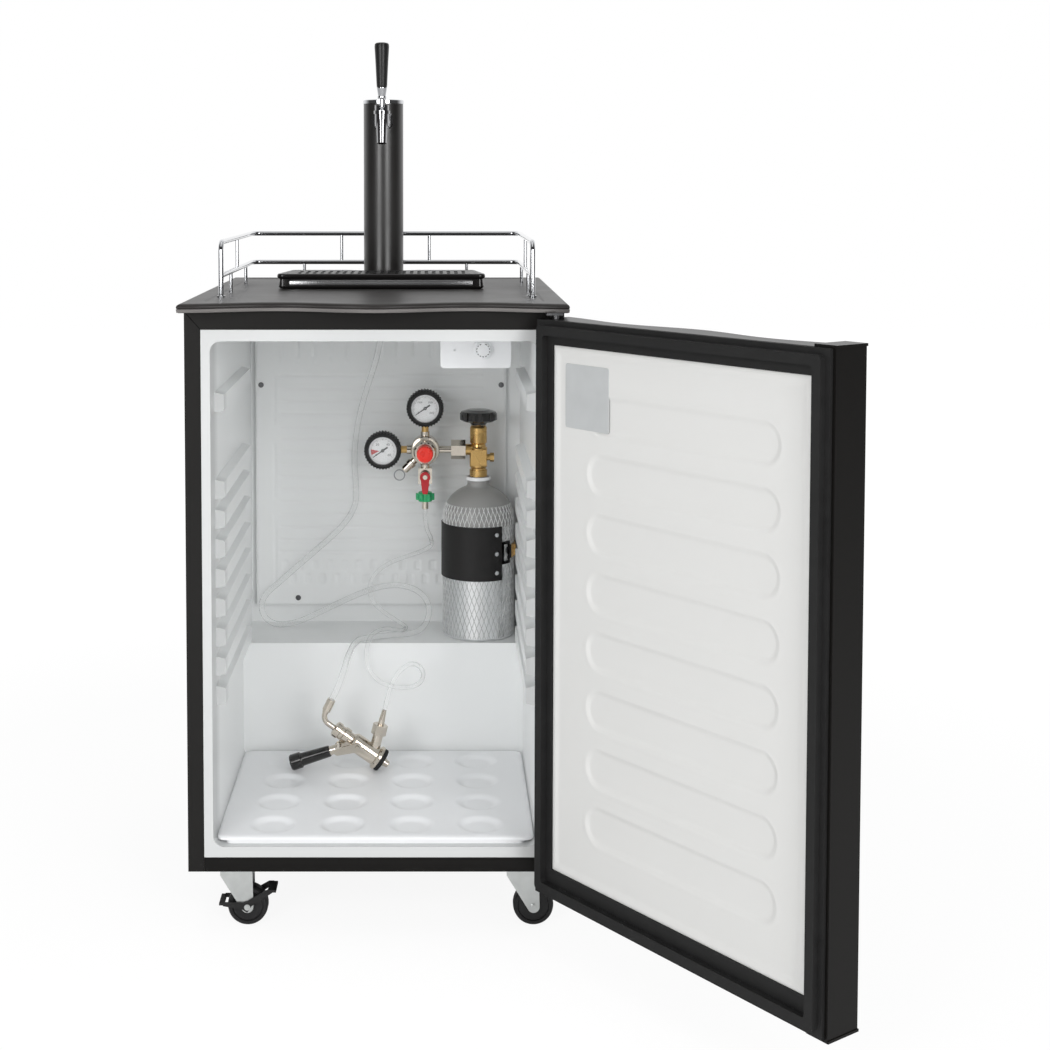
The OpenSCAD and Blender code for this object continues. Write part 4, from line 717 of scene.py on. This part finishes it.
def net_tree():
    """Two families of slanting strands up a cylinder's wall and a little way over its domed shoulder."""
    tree, given = new_tree("netting", {
        "Strands": 46, "Radius": 0.055, "Low": 0.0, "High": 0.1, "Wall": 0.18, "Dome": 0.05, "Twist": 6.5,
        "Wire": 0.0006})
    steps = 26
    families = []
    for way in (-1.0, 1.0):
        rise = calc(tree, "SUBTRACT", given["High"], given["Low"])
        part = calc(tree, "DIVIDE", point_index(tree), steps)
        height = calc(tree, "MULTIPLY_ADD", rise, part, given["Low"])
        over = calc(tree, "MAXIMUM", calc(tree, "SUBTRACT", height, given["Wall"]), 0.0)
        squares = [calc(tree, "POWER", side, 2.0) for side in (given["Dome"], over)]
        level = calc(tree, "SQRT", calc(tree, "SUBTRACT", *squares))
        radius = calc(tree, "SUBTRACT", given["Radius"], calc(tree, "SUBTRACT", given["Dome"], level))
        angle = calc(tree, "MULTIPLY", calc(tree, "MULTIPLY", height, given["Twist"]), way)
        line = moved_line(tree, steps + 1, vector(tree, *polar(tree, radius, angle), height))
        strand = out(tree, "GeometryNodeMeshToCurve", {"Mesh": line})
        section = out(tree, "GeometryNodeCurvePrimitiveCircle", {"Resolution": 4, "Radius": given["Wire"]})
        families.append(out(tree, "GeometryNodeCurveToMesh", {
            "Curve": strand, "Profile Curve": section, "Fill Caps": True}))
    ring = out(tree, "GeometryNodeMeshLine", {"Offset": (0, 0, 0), "Count": given["Strands"]})
    part = calc(tree, "DIVIDE", point_index(tree), given["Strands"])
    bearing = vector(tree, z=calc(tree, "MULTIPLY", part, math.tau))
    around = copies(tree, ring, join(tree, *families), Rotation=bearing)
    return close_tree(tree, given, copies(tree, given["Geometry"], around))


# Operators

class COOLER_OT_stage(bpy.types.Operator):
    """Sets the camera, the lamps, the pale floor and the white surroundings"""
    bl_idname = "cooler.stage"
    bl_label = "Stage"

    def execute(self, context):
        scene = context.scene
        stage = scene.cooler_stage
        scene.view_settings.view_transform = "Standard"
        FINISHES.update(make_materials(scene.cooler_colours))
        view = put(bpy.data.cameras.new("camera"), lens=stage.lens, sensor_width=36, sensor_fit="HORIZONTAL",
                   shift_x=0.0844, shift_y=-0.2347, clip_end=60)
        scene.camera = put(new_object("camera", view), location=(0.0803, -2.4754, 0.9927),
                           rotation_euler=(math.radians(90 - 3.21), 0, 0))
        # Columns: name, place, aim, width, height, power
        lamps = (("left", (-1.55, -3.2, 1.5), (0, 0, 0.5), 1.3, 1.8, stage.left_power),
                 ("right", (1.55, -3.2, 1.5), (0, 0, 0.5), 1.3, 1.8, stage.right_power),
                 ("top", (0.0, -0.5, 2.9), (0, 0, 0.8), 1.8, 1.8, stage.top_power))
        for name, spot, aim, wide, tall, energy in lamps:
            light = put(bpy.data.lights.new(name, "AREA"), energy=energy, shape="RECTANGLE", size=wide,
                        size_y=tall)
            turn = (Vector(aim) - Vector(spot)).to_track_quat("-Z", "Y").to_euler()
            put(new_object(name, light), location=spot, rotation_euler=turn)
        self.surroundings(scene, stage.sky)
        self.floor()
        return {"FINISHED"}

    def surroundings(self, scene, strength):
        """Even light, plain white to the camera and through glass; metal mirrors a dim front."""
        world = bpy.data.worlds.new("surroundings")
        world.use_nodes = True
        tree = world.node_tree
        rays = add(tree, "ShaderNodeLightPath").outputs
        direct = calc(tree, "MAXIMUM", rays["Is Camera Ray"], rays["Is Transmission Ray"])
        shine = calc(tree, "MAXIMUM", direct, rays["Is Glossy Ray"])
        way = out(tree, "ShaderNodeTexCoord", output="Generated")
        rearward = out(tree, "ShaderNodeSeparateXYZ", {"Vector": way}, "Y")
        rear = ramp(tree, rearward, -0.15, 0.75, 0.06, 1.0, "SMOOTHSTEP")
        plain = tree.nodes["Background"]
        fill(tree, plain, {"Color": (1, 1, 1, 1), "Strength": strength})
        white = add(tree, "ShaderNodeBackground", {
            "Color": (1, 1, 1, 1), "Strength": calc(tree, "MAXIMUM", rear, direct)})
        blend(tree, shine, plain, white, "World Output")
        scene.world = world

    def floor(self):
        """Pale floor that keeps a soft shadow."""
        mesh = bpy.data.meshes.new("floor")
        half = 9
        level = -0.0003
        corners = [(half * x, half * y, level) for x, y in ((-1, -1), (1, -1), (1, 1), (-1, 1))]
        mesh.from_pydata(corners, [], [(0, 1, 2, 3)])
        material, tree, shader = new_material("floor_white")
        fill(tree, shader, {"Base Color": (0.9, 0.9, 0.9, 1), "Roughness": 0.8})
        glow = add(tree, "ShaderNodeEmission", {"Strength": 1.05})
        seen = out(tree, "ShaderNodeLightPath", output="Is Camera Ray")
        reach = out(tree, "ShaderNodeVectorMath", {0: object_place(tree)}, "Value", operation="LENGTH")
        far = ramp(tree, reach, 0.9, 2.4, 0.86, 1.0)
        blend(tree, calc(tree, "MULTIPLY", seen, far), shader, glow, "Material Output")
        add_object("floor", mesh, material, smooth=0)


class COOLER_OT_hoses(bpy.types.Operator):
    """Lays the beer hose and the gas hose along their routes"""
    bl_idname = "cooler.hoses"
    bl_label = "Hoses"

    def execute(self, context):
        sizes = context.scene.cooler_sizes
        self.lay("beer_hose", BEER_ROUTE, sizes.beer_hose, "beer_line")
        self.lay("gas_hose", GAS_ROUTE, sizes.gas_hose, "gas_line")
        return {"FINISHED"}

    def lay(self, name, route, diameter, node):
        """One smooth tube through the route's points."""
        steps = 8
        points = [Vector(point) * MM for point in route]
        padded = [2 * points[0] - points[1]] + points + [2 * points[-1] - points[-2]]
        smooth = []
        for i in range(1, len(padded) - 2):
            before, here, after, beyond = padded[i - 1:i + 3]
            for step in range(steps):
                t = step / steps
                smooth.append(0.5 * (2 * here + (after - before) * t
                                     + (2 * before - 5 * here + 4 * after - beyond) * t * t
                                     + (3 * here - before - 3 * after + beyond) * t * t * t))
        smooth.append(points[-1])
        curve = put(bpy.data.curves.new(name, "CURVE"), dimensions="3D", bevel_depth=diameter / 2,
                    bevel_resolution=5, use_fill_caps=True)
        line = curve.splines.new("POLY")
        line.points.add(len(smooth) - 1)
        for spot, place in zip(line.points, smooth):
            spot.co = (*place, 1)
        line.use_smooth = True
        curve.materials.append(FINISHES["hose"])
        hose = new_object(name, curve)
        settle(hose, "cabinet", "hose_clear", node)


class COOLER_OT_solids(bpy.types.Operator):
    """Gives every solid of the frame its finish"""
    bl_idname = "cooler.solids"
    bl_label = "Solids"

    def execute(self, context):
        for look, names in NODE_FINISH.items():
            for name in names.split():
                solid = frame["nodes"][name]
                if not solid.material_slots:
                    solid.data.materials.append(FINISHES[look])
                for holder in solid.material_slots:
                    holder.material = FINISHES[look]
        return {"FINISHED"}


class COOLER_OT_worktop(bpy.types.Operator):
    """Builds the worktop with its rolled wavy edge, shallow field and satin edge strip"""
    bl_idname = "cooler.worktop"
    bl_label = "Worktop"

    def execute(self, context):
        edge = ((4.5, 827.0), (2.4, 827.2), (1.4, 828.0), (1.3, 830.0), (1.2, 832.6), (0.4, 833.0),
                (0.0, 833.8), (0.0, 835.2), (0.6, 836.6), (1.7, 837.7), (3.4, 838.5), (5.6, 838.95),
                (8.0, 839.0))
        step = ((0, 839.0), (1.2, 838.85), (3.0, 838.1), (4.2, 838.0))
        rings = [self.outline(inset, z) for inset, z in edge]
        rings += [self.field(inset, z) for inset, z in step]
        make_piece("worktop_rolled", loft(rings), "worktop", 40, "cabinet", "top_black", "worktop")
        # The strip is let into the edge under the roll and leans a little downwards
        strip = ((2.2, 827.7), (0.7, 827.7), (0.45, 828.0), (-0.15, 831.6), (0.1, 832.2), (2.2, 832.3))
        rings = [self.outline(inset, z) for inset, z in strip]
        make_piece("worktop_strip", loft(rings, closed=True), "edge_strip", 30, "cabinet", "top_black")
        return {"FINISHED"}

    def outline(self, inset, z):
        """Loop round the worktop, drawn in by inset, with its wavy front."""
        wave_middle, wave_height = -295, 15
        front_steps, side_steps = 96, 12
        wide = WORKTOP_HALF - inset
        rear = WORKTOP_REAR - inset
        across = spaced(-wide, wide, front_steps)
        front = [wave_middle - wave_height * math.cos(math.tau * x / WORKTOP_HALF) + inset for x in across]
        points = [(x, y, z) for x, y in zip(across, front)]
        points += [(wide, y, z) for y in spaced(front[-1], rear, side_steps)[1:-1]]
        points += [(x, rear, z) for x in reversed(across)]
        points += [(-wide, y, z) for y in spaced(rear, front[0], side_steps)[1:-1]]
        return points

    def field(self, inset, z):
        """Loop round the shallow field, with as many points as the outline."""
        half, front, rear = 222 - inset, -262 + inset, 285 - inset
        outer = self.outline(8.0, z)
        return [(min(half, max(-half, x)), min(rear, max(front, y)), z) for x, y, _ in outer]


class COOLER_OT_drip_tray(bpy.types.Operator):
    """Moulds the glossy drip tray with its leaning front, bright plate, rim and hollow round the tower"""
    bl_idname = "cooler.drip_tray"
    bl_label = "Drip Tray"

    def execute(self, context):
        profile = ((8.0, 838.35), (5.0, 838.5), (3.4, 839.2), (2.4, 840.6), (2.2, 841.8), (2.25, 842.2),
                   (3.55, 851.4), (3.6, 851.8), (3.5, 852.4), (2.2, 853.2), (0.8, 854.2), (0.15, 856.0),
                   (0.3, 858.0), (1.1, 859.5), (2.4, 860.2), (3.4, 860.0), (3.9, 859.2), (4.0, 857.35),
                   (9.0, 857.3), (9.2, 843.0), (11.0, 841.4))
        rings = [self.outline(inset, z) for inset, z in profile]
        make_piece("drip_tray_moulded", loft(rings), "gloss_black", 45, "drip_tray", "plastic_black",
                   "drip_tray")
        self.plate()
        return {"FINISHED"}

    def plate(self):
        """Polished plate on the tray's front under the rim, its ends bent back."""
        half, bend, low, high = 133.0, 52.0, 843.3, 850.6
        front, rear, lean, bend_depth = 12.3, 16.5, 0.13, 1.95
        bevel, bevel_depth = 0.5, 0.25

        def depth(x, z):
            turned = max(0.0, abs(x) - half + bend) / bend
            edge = bevel_depth if z in (low, high) else 0.0
            return front + edge + lean * (z - low) + bend_depth * turned * turned

        rows = (low, low + bevel, high - bevel, high)
        shape = upright_sheet(spaced(-half, half, 72), rows, depth, rear)
        make_piece("drip_tray_plate", shape, "polished", 30, "drip_tray", "chrome")

    def outline(self, inset, z):
        """Loop of the tray, drawn in by inset, from the front left corner to the right."""
        half_front, half_rear = 151.5, 140
        radius = 9 - min(inset, 6)
        near = TRAY_FRONT + inset
        far = TRAY_REAR - inset
        front = half_front - inset - radius
        rear = half_rear - inset - radius
        low = near + radius
        high = far - radius
        slant = math.degrees(math.atan2(front - rear, high - low))
        hollow_y, hollow_radius = TOWER_HOLLOW
        cut = hollow_radius + inset
        mouth = math.sqrt(cut * cut - (far - hollow_y) ** 2)
        reach = math.degrees(math.asin(mouth / cut))
        pairs = arc(-front, low, radius, 180 - slant, 270, 8)
        pairs += [(x, near) for x in spaced(-front, front, 24)[1:-1]]
        pairs += arc(front, low, radius, 270, 360 + slant, 8)
        pairs += arc(rear, high, radius, slant, 90, 8)
        pairs += [(x, far) for x in spaced(rear, mouth, 6)[1:-1]]
        pairs += arc(0, hollow_y, cut, reach - 90, -reach - 90, 24)
        pairs += [(x, far) for x in spaced(-mouth, -rear, 6)[1:-1]]
        pairs += arc(-rear, high, radius, 90, 180 - slant, 8)
        return [(x, y, z) for x, y in pairs]


class COOLER_OT_evaporator(bpy.types.Operator):
    """Presses the evaporator plate with its lines, side channel, upper flutes and lower tabs"""
    bl_idname = "cooler.evaporator"
    bl_label = "Evaporator Plate"

    def execute(self, context):
        left, right, low, high = -204.0, 190.0, 325.0, 775.0
        front, rear = 208.0, 219.8
        # Depth and width of each kind of groove
        line_cut, channel_cut, flute_cut, dimple = (1.2, 1.7), (1.3, 1.9), (1.5, 2.6), (0.9, 2.6)
        tab_cut, tab_half_x, tab_half_z, tab_round, tab_slope = 1.3, 2.4, 5.4, 3.6, 2.6
        lines = [low + 85 + 20 * i for i in range(15)]
        line_margin = 34
        channel_x = left + 30
        channel = ((359, 474), (492, 585), (610, 690))
        flutes = [left + 40 + 26.2 * i for i in range(13)]
        flute_low, dimple_z = 716, 711
        tabs = [left + 46 + 23.2 * i for i in range(14)]
        tab_rows = ((389.0, 0.0), (367.0, 11.6))

        def groove(distance, cut):
            return cut[0] * bell(distance, cut[1])

        def between(value, start, end, slope):
            return soft_step((value - start) / slope) * soft_step((end - value) / slope)

        def depth(x, z):
            edge = min(x - left, right - x, z - low, high - z)
            lift = -1.6 * (1 - soft_step(edge / 3.0))
            inside = between(x, left + line_margin, right - line_margin, 6)
            lift -= groove(z - nearest(lines, z), line_cut) * inside
            for start, end in channel:
                lift -= groove(x - channel_x, channel_cut) * between(z, start, end, 5)
            flute = nearest(flutes, x)
            lift -= groove(x - flute, flute_cut) * soft_step((z - flute_low) / 4)
            lift += groove(math.hypot(x - flute, z - dimple_z), dimple)
            for row, shift in tab_rows:
                tab = nearest(tabs, x - shift) + shift
                past = math.hypot(max(0.0, abs(x - tab) - tab_half_x), max(0.0, abs(z - row) - tab_half_z))
                lift -= tab_cut * soft_step((tab_round - past) / tab_slope)
            return front - lift

        shape = upright_sheet(spaced(left, right, 224), spaced(low, high, 300), depth, rear)
        make_piece("evaporator_pressed", shape, "plate", 50, "cabinet", "liner_white", "evaporator_plate")
        return {"FINISHED"}


class COOLER_OT_floor_plate(bpy.types.Operator):
    """Moulds the loose floor plate with its soft bottle hollows, rolled edge and set-back foot"""
    bl_idname = "cooler.floor_plate"
    bl_label = "Floor Plate"

    def execute(self, context):
        half_x, half_y, middle, corner = 208.5, 172.0, -89.0, 12.0
        low, slab, high = 123.0, 128.5, 133.5
        hollow_gap_x, hollow_gap_y, hollow_shift = 92.667, 83.902, -2
        steps = (-1.5, -0.5, 0.5, 1.5)
        hollows = [(hollow_gap_x * i, hollow_shift + hollow_gap_y * j) for i in steps for j in steps]

        def rounded(x, y):
            """The place in a plate with round corners for a place in a square-cornered one."""
            across = max(0.0, abs(x) - half_x + corner) / corner
            deep = max(0.0, abs(y) - half_y + corner) / corner
            if across and deep:
                x = math.copysign(half_x - corner + corner * across * math.sqrt(1 - deep * deep / 2), x)
                y = math.copysign(half_y - corner + corner * deep * math.sqrt(1 - across * across / 2), y)
            return x, y

        def place(square_x, square_y):
            """The point of the rolled and hollowed top."""
            x, y = rounded(square_x, square_y)
            across = abs(x) - half_x + corner
            deep = abs(y) - half_y + corner
            reach = math.hypot(max(0.0, across), max(0.0, deep)) + min(0.0, max(across, deep))
            lift = -1.6 * (1 - soft_step((corner - reach) / 3.2))
            hollow = min(math.hypot(x - a, y - b) for a, b in hollows)
            lift -= 4.4 * soft_step((31.5 - hollow) / 12.5)
            lift += 0.7 * bell(math.hypot(x, y - hollow_shift), 2.0)
            return x, middle + y, high + lift

        top = sheet(spaced(-half_x, half_x, 148), spaced(-half_y, half_y, 122), place,
                    lambda point: (point[0], point[1], slab))
        foot_x, foot_y, foot_round = 197.0, 168.0, 8.0
        ring = round_corners(0, middle, foot_x, foot_y, foot_round, 6)
        foot = loft([[(x, y, z) for x, y in ring] for z in (low, slab + 0.1)])
        make_piece("floor_plate_moulded", joined(top, foot), "white", 50, "cabinet", "liner_white",
                   "floor_plate")
        return {"FINISHED"}


class COOLER_OT_seams(bpy.types.Operator):
    """Draws the mitre lines where the front frame's bars meet"""
    bl_idname = "cooler.seams"
    bl_label = "Seams"

    def execute(self, context):
        corners = ((224.4, 803.0), (223.7, 803.7), (244.0, 826.6), (244.7, 825.9))
        bars = []
        for side in (-1, 1):
            bars.append(loft([[(side * x, y, z) for x, z in corners] for y in (-269.7, -270.08)]))
        make_piece("frame_seams", joined(*bars), "seam", 0, "cabinet", "frame_black")
        return {"FINISHED"}


class COOLER_OT_door_panel(bpy.types.Operator):
    """Presses the white door panel with its row of soft fields, and sets the bare label on it"""
    bl_idname = "cooler.door_panel"
    bl_label = "Door Panel"

    def execute(self, context):
        field_depth = context.scene.cooler_sizes.field_depth / MM
        fields = [197.5 + 73.0 * i for i in range(8)]
        field_x, field_half, field_radius = -10, 133.5, 22.5

        def depth(x, z):
            edge = min(PANEL_HALF - abs(x), z - PANEL_LOW, PANEL_HIGH - z)
            rim = 1.6 * (1 - soft_step((edge - 6) / 6)) - 1.2 * (1 - soft_step(edge / 2.5))
            beyond = max(0.0, abs(x - field_x) - field_half)
            away = field_radius - math.hypot(beyond, z - nearest(fields, z))
            pressed = soft_step((away + 3.0) / 6.0)
            lip = bell(away + 3.6, 2.6)
            return DOOR_FACE_Y + 0.6 + rim - field_depth * pressed + 0.5 * lip

        across = spaced(-PANEL_HALF, PANEL_HALF, 150)
        upward = spaced(PANEL_LOW, PANEL_HIGH, 236)
        shape = door_turned(upright_sheet(across, upward, depth, DOOR_FACE_Y - 2))
        make_piece("door_panel_pressed", shape, "door_panel", 50, "door", "door_white", "door_liner")
        self.label()
        return {"FINISHED"}

    def label(self):
        """Bare grey label near the hinge, its corners slightly rounded."""
        middle_x, middle_z, half_x, half_z, radius = 149.65, 728.0, 40.15, 40.0, 3.5
        base_y = DOOR_FACE_Y + 0.1
        corners = round_corners(middle_x, middle_z, half_x, half_z, radius, 4)
        rings = []
        for lift, inset in ((0.0, 0.0), (0.95, 0.0), (1.2, 0.25)):
            size = 1 - inset / half_z
            y = base_y + lift
            rings.append([(middle_x + (x - middle_x) * size, y, middle_z + (z - middle_z) * size)
                          for x, z in corners])
        make_piece("door_label", door_turned(loft(rings)), "label", 20, "door", "door_white")


class COOLER_OT_door_front(bpy.types.Operator):
    """Lays the smooth wavy sheet over the door's front"""
    bl_idname = "cooler.door_front"
    bl_label = "Door Front"

    def execute(self, context):
        left, right, low, high = -212.7, 242.7, 79.3, 819.7
        wave_middle, wave_height = DOOR_FACE_Y - 40, 8
        edges = (0.0, 0.3, 0.8, 1.6, 2.6, 4.0)
        across = [left + edge for edge in edges[:-1]]
        across += spaced(left + edges[-1], right - edges[-1], 120)
        across += [right - edge for edge in reversed(edges[:-1])]
        upward = [low + edge for edge in edges] + [high - edge for edge in reversed(edges)]

        def depth(x, z):
            edge = min(x - left, right - x, z - low, high - z)
            lift = 0.4 - 0.9 * (1 - soft_step(edge / 3.5))
            return wave_middle - wave_height * math.cos(math.tau * x / DOOR_WAVE) - lift

        shape = upright_sheet(across, upward, depth, DOOR_FACE_Y - 29)
        make_piece("door_front_sheet", door_turned(shape), "door", 40, "door", "frame_black")
        return {"FINISHED"}


class COOLER_OT_dials(bpy.types.Operator):
    """Prints the two gauge dials with marks, numerals and a red field"""
    bl_idname = "cooler.dials"
    bl_label = "Dials"

    def execute(self, context):
        ticks = tick_tree()
        count = context.scene.cooler_sizes.dial_ticks
        numerals = {"high": ("0", "1000", "2000", "3000"), "low": ("0", "20", "40", "60")}
        for name, (x, z) in GAUGES.items():
            self.face(name, x, z)
            marks = run_tree(ticks, "dial_marks_" + name, [(x, PRINT_Y, z)],
                             {"Count": count, "Material": FINISHES["dial_print"]}, smooth=0)
            settle(marks, "cabinet", "plastic_black")
            self.numerals(name, numerals[name])
        self.wedge()
        return {"FINISHED"}

    def face(self, name, x, z):
        """Thin white disc with a bevelled rim."""
        rings = []
        for radius, y in ((21.3, DIAL_Y - 0.02), (21.3, DIAL_Y - 0.3), (21.0, DIAL_Y - 0.36)):
            rings.append([(across, y, up) for across, up in circle(x, z, radius, 72)])
        make_piece("dial_face_" + name, loft(rings), "dial", 20, "cabinet", "white_plastic")

    def on_dial(self, name, radius, degrees, y):
        """A point of a dial, by its angle clockwise from the top."""
        x, z = GAUGES[name]
        angle = math.radians(degrees)
        return x + radius * math.sin(angle), y, z + radius * math.cos(angle)

    def numerals(self, name, words):
        """Small numerals inside the marks."""
        radius = 12.2
        shape = bmesh.new()
        for word, degrees in zip(words, spaced(-125, 125, len(words) - 1)):
            size = 0.0052 if len(word) < 3 else 0.0040
            curve = put(bpy.data.curves.new("numeral", "FONT"), body=word, size=size, align_x="CENTER",
                        align_y="CENTER", extrude=0.00004)
            flat = plain_mesh(new_object("numeral", curve))
            spot = Vector(self.on_dial(name, radius, degrees, PRINT_Y)) * MM
            flat.transform(Matrix.Translation(spot) @ Matrix.Rotation(math.pi / 2, 4, "X"))
            shape.from_mesh(flat)
            bpy.data.meshes.remove(flat)
        mesh = bpy.data.meshes.new("dial_numerals_" + name)
        shape.to_mesh(mesh)
        shape.free()
        print_piece = add_object("dial_numerals_" + name, mesh, FINISHES["dial_print"], 0)
        settle(print_piece, "cabinet", "plastic_black")

    def wedge(self):
        """Red field of the low gauge, spreading from near its hub."""
        rim = [(5.0, -98)] + [(18.2, -112 + 4 * i) for i in range(8)]
        rings = []
        for y in (DIAL_Y - 0.36, DIAL_Y - 0.44):
            rings.append([self.on_dial("low", radius, degrees, y) for radius, degrees in rim])
        make_piece("dial_red_field", loft(rings), "dial_red", 0, "cabinet", "red_plastic")


class COOLER_OT_netting(bpy.types.Operator):
    """Draws the diamond netting over the gas cylinder's wall and the white ring round its neck"""
    bl_idname = "cooler.netting"
    bl_label = "Netting"

    def execute(self, context):
        sizes = context.scene.cooler_sizes
        x, y = CYLINDER_AXIS
        net = run_tree(net_tree(), "netting", [(x, y, CYLINDER_FOOT)], {
            "Strands": sizes.net_strands, "Radius": 0.0545 + sizes.net_wire * 0.8, "Low": 0.0045,
            "High": 0.2045, "Wall": 0.181, "Dome": 0.05, "Twist": 6.5, "Wire": sizes.net_wire,
            "Material": FINISHES["net"]}, smooth=60)
        settle(net, "cabinet", "white_plastic")
        profile = ((17.2, 535.4), (18.6, 535.4), (19.2, 536.2), (19.2, 539.4), (18.6, 540.4), (17.2, 540.6))
        rings = [[(*pair, z) for pair in circle(x, y, radius, 64)] for radius, z in profile]
        make_piece("neck_ring", loft(rings, closed=True), "white", 40, "cabinet", "white_plastic")
        return {"FINISHED"}


class COOLER_OT_screws(bpy.types.Operator):
    """Sets the screws of the casters, the lower hinge bracket and the rear panel"""
    bl_idname = "cooler.screws"
    bl_label = "Screws"

    def execute(self, context):
        tree = screw_tree()
        plate_z, bracket_z, rear_y = 87.5, 75.5, 270
        signs = [(a, b) for a in (-1, 1) for b in (-1, 1)]
        bolts = [(sx * 191 + dx * 23, sy * 220 + dy * 23, plate_z) for sx, sy in signs for dx, dy in signs]
        bolts += [(x, -250, bracket_z) for x in (227, 236)]
        self.place(tree, "bolt_heads", bolts, (0, 0, -1), 0.0042, 0.003)
        screws = [(x, rear_y, z) for x in (-232, 232) for z in (290, 460, 640, 800)]
        screws += [(x, rear_y, 812) for x in (-120, 0, 120)]
        self.place(tree, "rear_screws", screws, (0, 1, 0), 0.004, 0.002)
        return {"FINISHED"}

    def place(self, tree, name, spots, axis, radius, height):
        """One group of screws that all point the same way."""
        values = {"Head Radius": radius, "Head Height": height, "Material": FINISHES["zinc"]}
        heads = run_tree(tree, name, spots, values, smooth=30, axes=[axis] * len(spots))
        settle(heads, "cabinet", "zinc")


class COOLER_OT_knob_marks(bpy.types.Operator):
    """Prints the ring of dashes on the thermostat knob"""
    bl_idname = "cooler.knob_marks"
    bl_label = "Knob Marks"

    def execute(self, context):
        marks = run_tree(tick_tree(), "knob_marks", [(144.5, -130.32, 762.5)], {
            "Count": 13, "Radius": 0.0094, "From": 0.45, "Sweep": 5.4, "Length": 0.0011, "Width": 0.0021,
            "Long": 1.0, "Group": 50.0, "Material": FINISHES["dial_print"]}, smooth=0)
        settle(marks, "thermostat_knob", "plastic_black")
        return {"FINISHED"}


class COOLER_PT_panel(bpy.types.Panel):
    """Lists the finishing steps and their sizes"""
    bl_label = "Draft Beer Cooler"
    bl_idname = "COOLER_PT_panel"
    bl_space_type = "VIEW_3D"
    bl_region_type = "UI"
    bl_category = "Cooler"

    def draw(self, context):
        layout = self.layout
        for group in (context.scene.cooler_sizes, context.scene.cooler_colours, context.scene.cooler_stage):
            box = layout.box()
            for key in group.bl_rna.properties.keys():
                if key not in ("rna_type", "name"):
                    box.prop(group, key)
        for step in STEPS:
            layout.operator(step.bl_idname)


GROUPS = (CoolerSizes, CoolerColours, CoolerStage)
STEPS = (COOLER_OT_stage, COOLER_OT_hoses, COOLER_OT_solids, COOLER_OT_worktop, COOLER_OT_drip_tray,
         COOLER_OT_evaporator, COOLER_OT_floor_plate, COOLER_OT_seams, COOLER_OT_door_panel,
         COOLER_OT_door_front, COOLER_OT_dials, COOLER_OT_netting, COOLER_OT_screws, COOLER_OT_knob_marks)
CLASSES = GROUPS + STEPS + (COOLER_PT_panel,)


def register():
    for item in CLASSES:
        bpy.utils.register_class(item)
    bpy.types.Scene.cooler_sizes = PointerProperty(type=CoolerSizes)
    bpy.types.Scene.cooler_colours = PointerProperty(type=CoolerColours)
    bpy.types.Scene.cooler_stage = PointerProperty(type=CoolerStage)


def unregister():
    del bpy.types.Scene.cooler_stage
    del bpy.types.Scene.cooler_colours
    del bpy.types.Scene.cooler_sizes
    for item in reversed(CLASSES):
        bpy.utils.unregister_class(item)


def main():
    register()
    bpy.ops.cooler.stage()
    bpy.ops.cooler.hoses()
    bpy.ops.cooler.solids()
    bpy.ops.cooler.worktop()
    bpy.ops.cooler.drip_tray()
    bpy.ops.cooler.evaporator()
    bpy.ops.cooler.floor_plate()
    bpy.ops.cooler.seams()
    bpy.ops.cooler.door_panel()
    bpy.ops.cooler.door_front()
    bpy.ops.cooler.dials()
    bpy.ops.cooler.netting()
    bpy.ops.cooler.screws()
    bpy.ops.cooler.knob_marks()


if __name__ == "__main__":
    main()
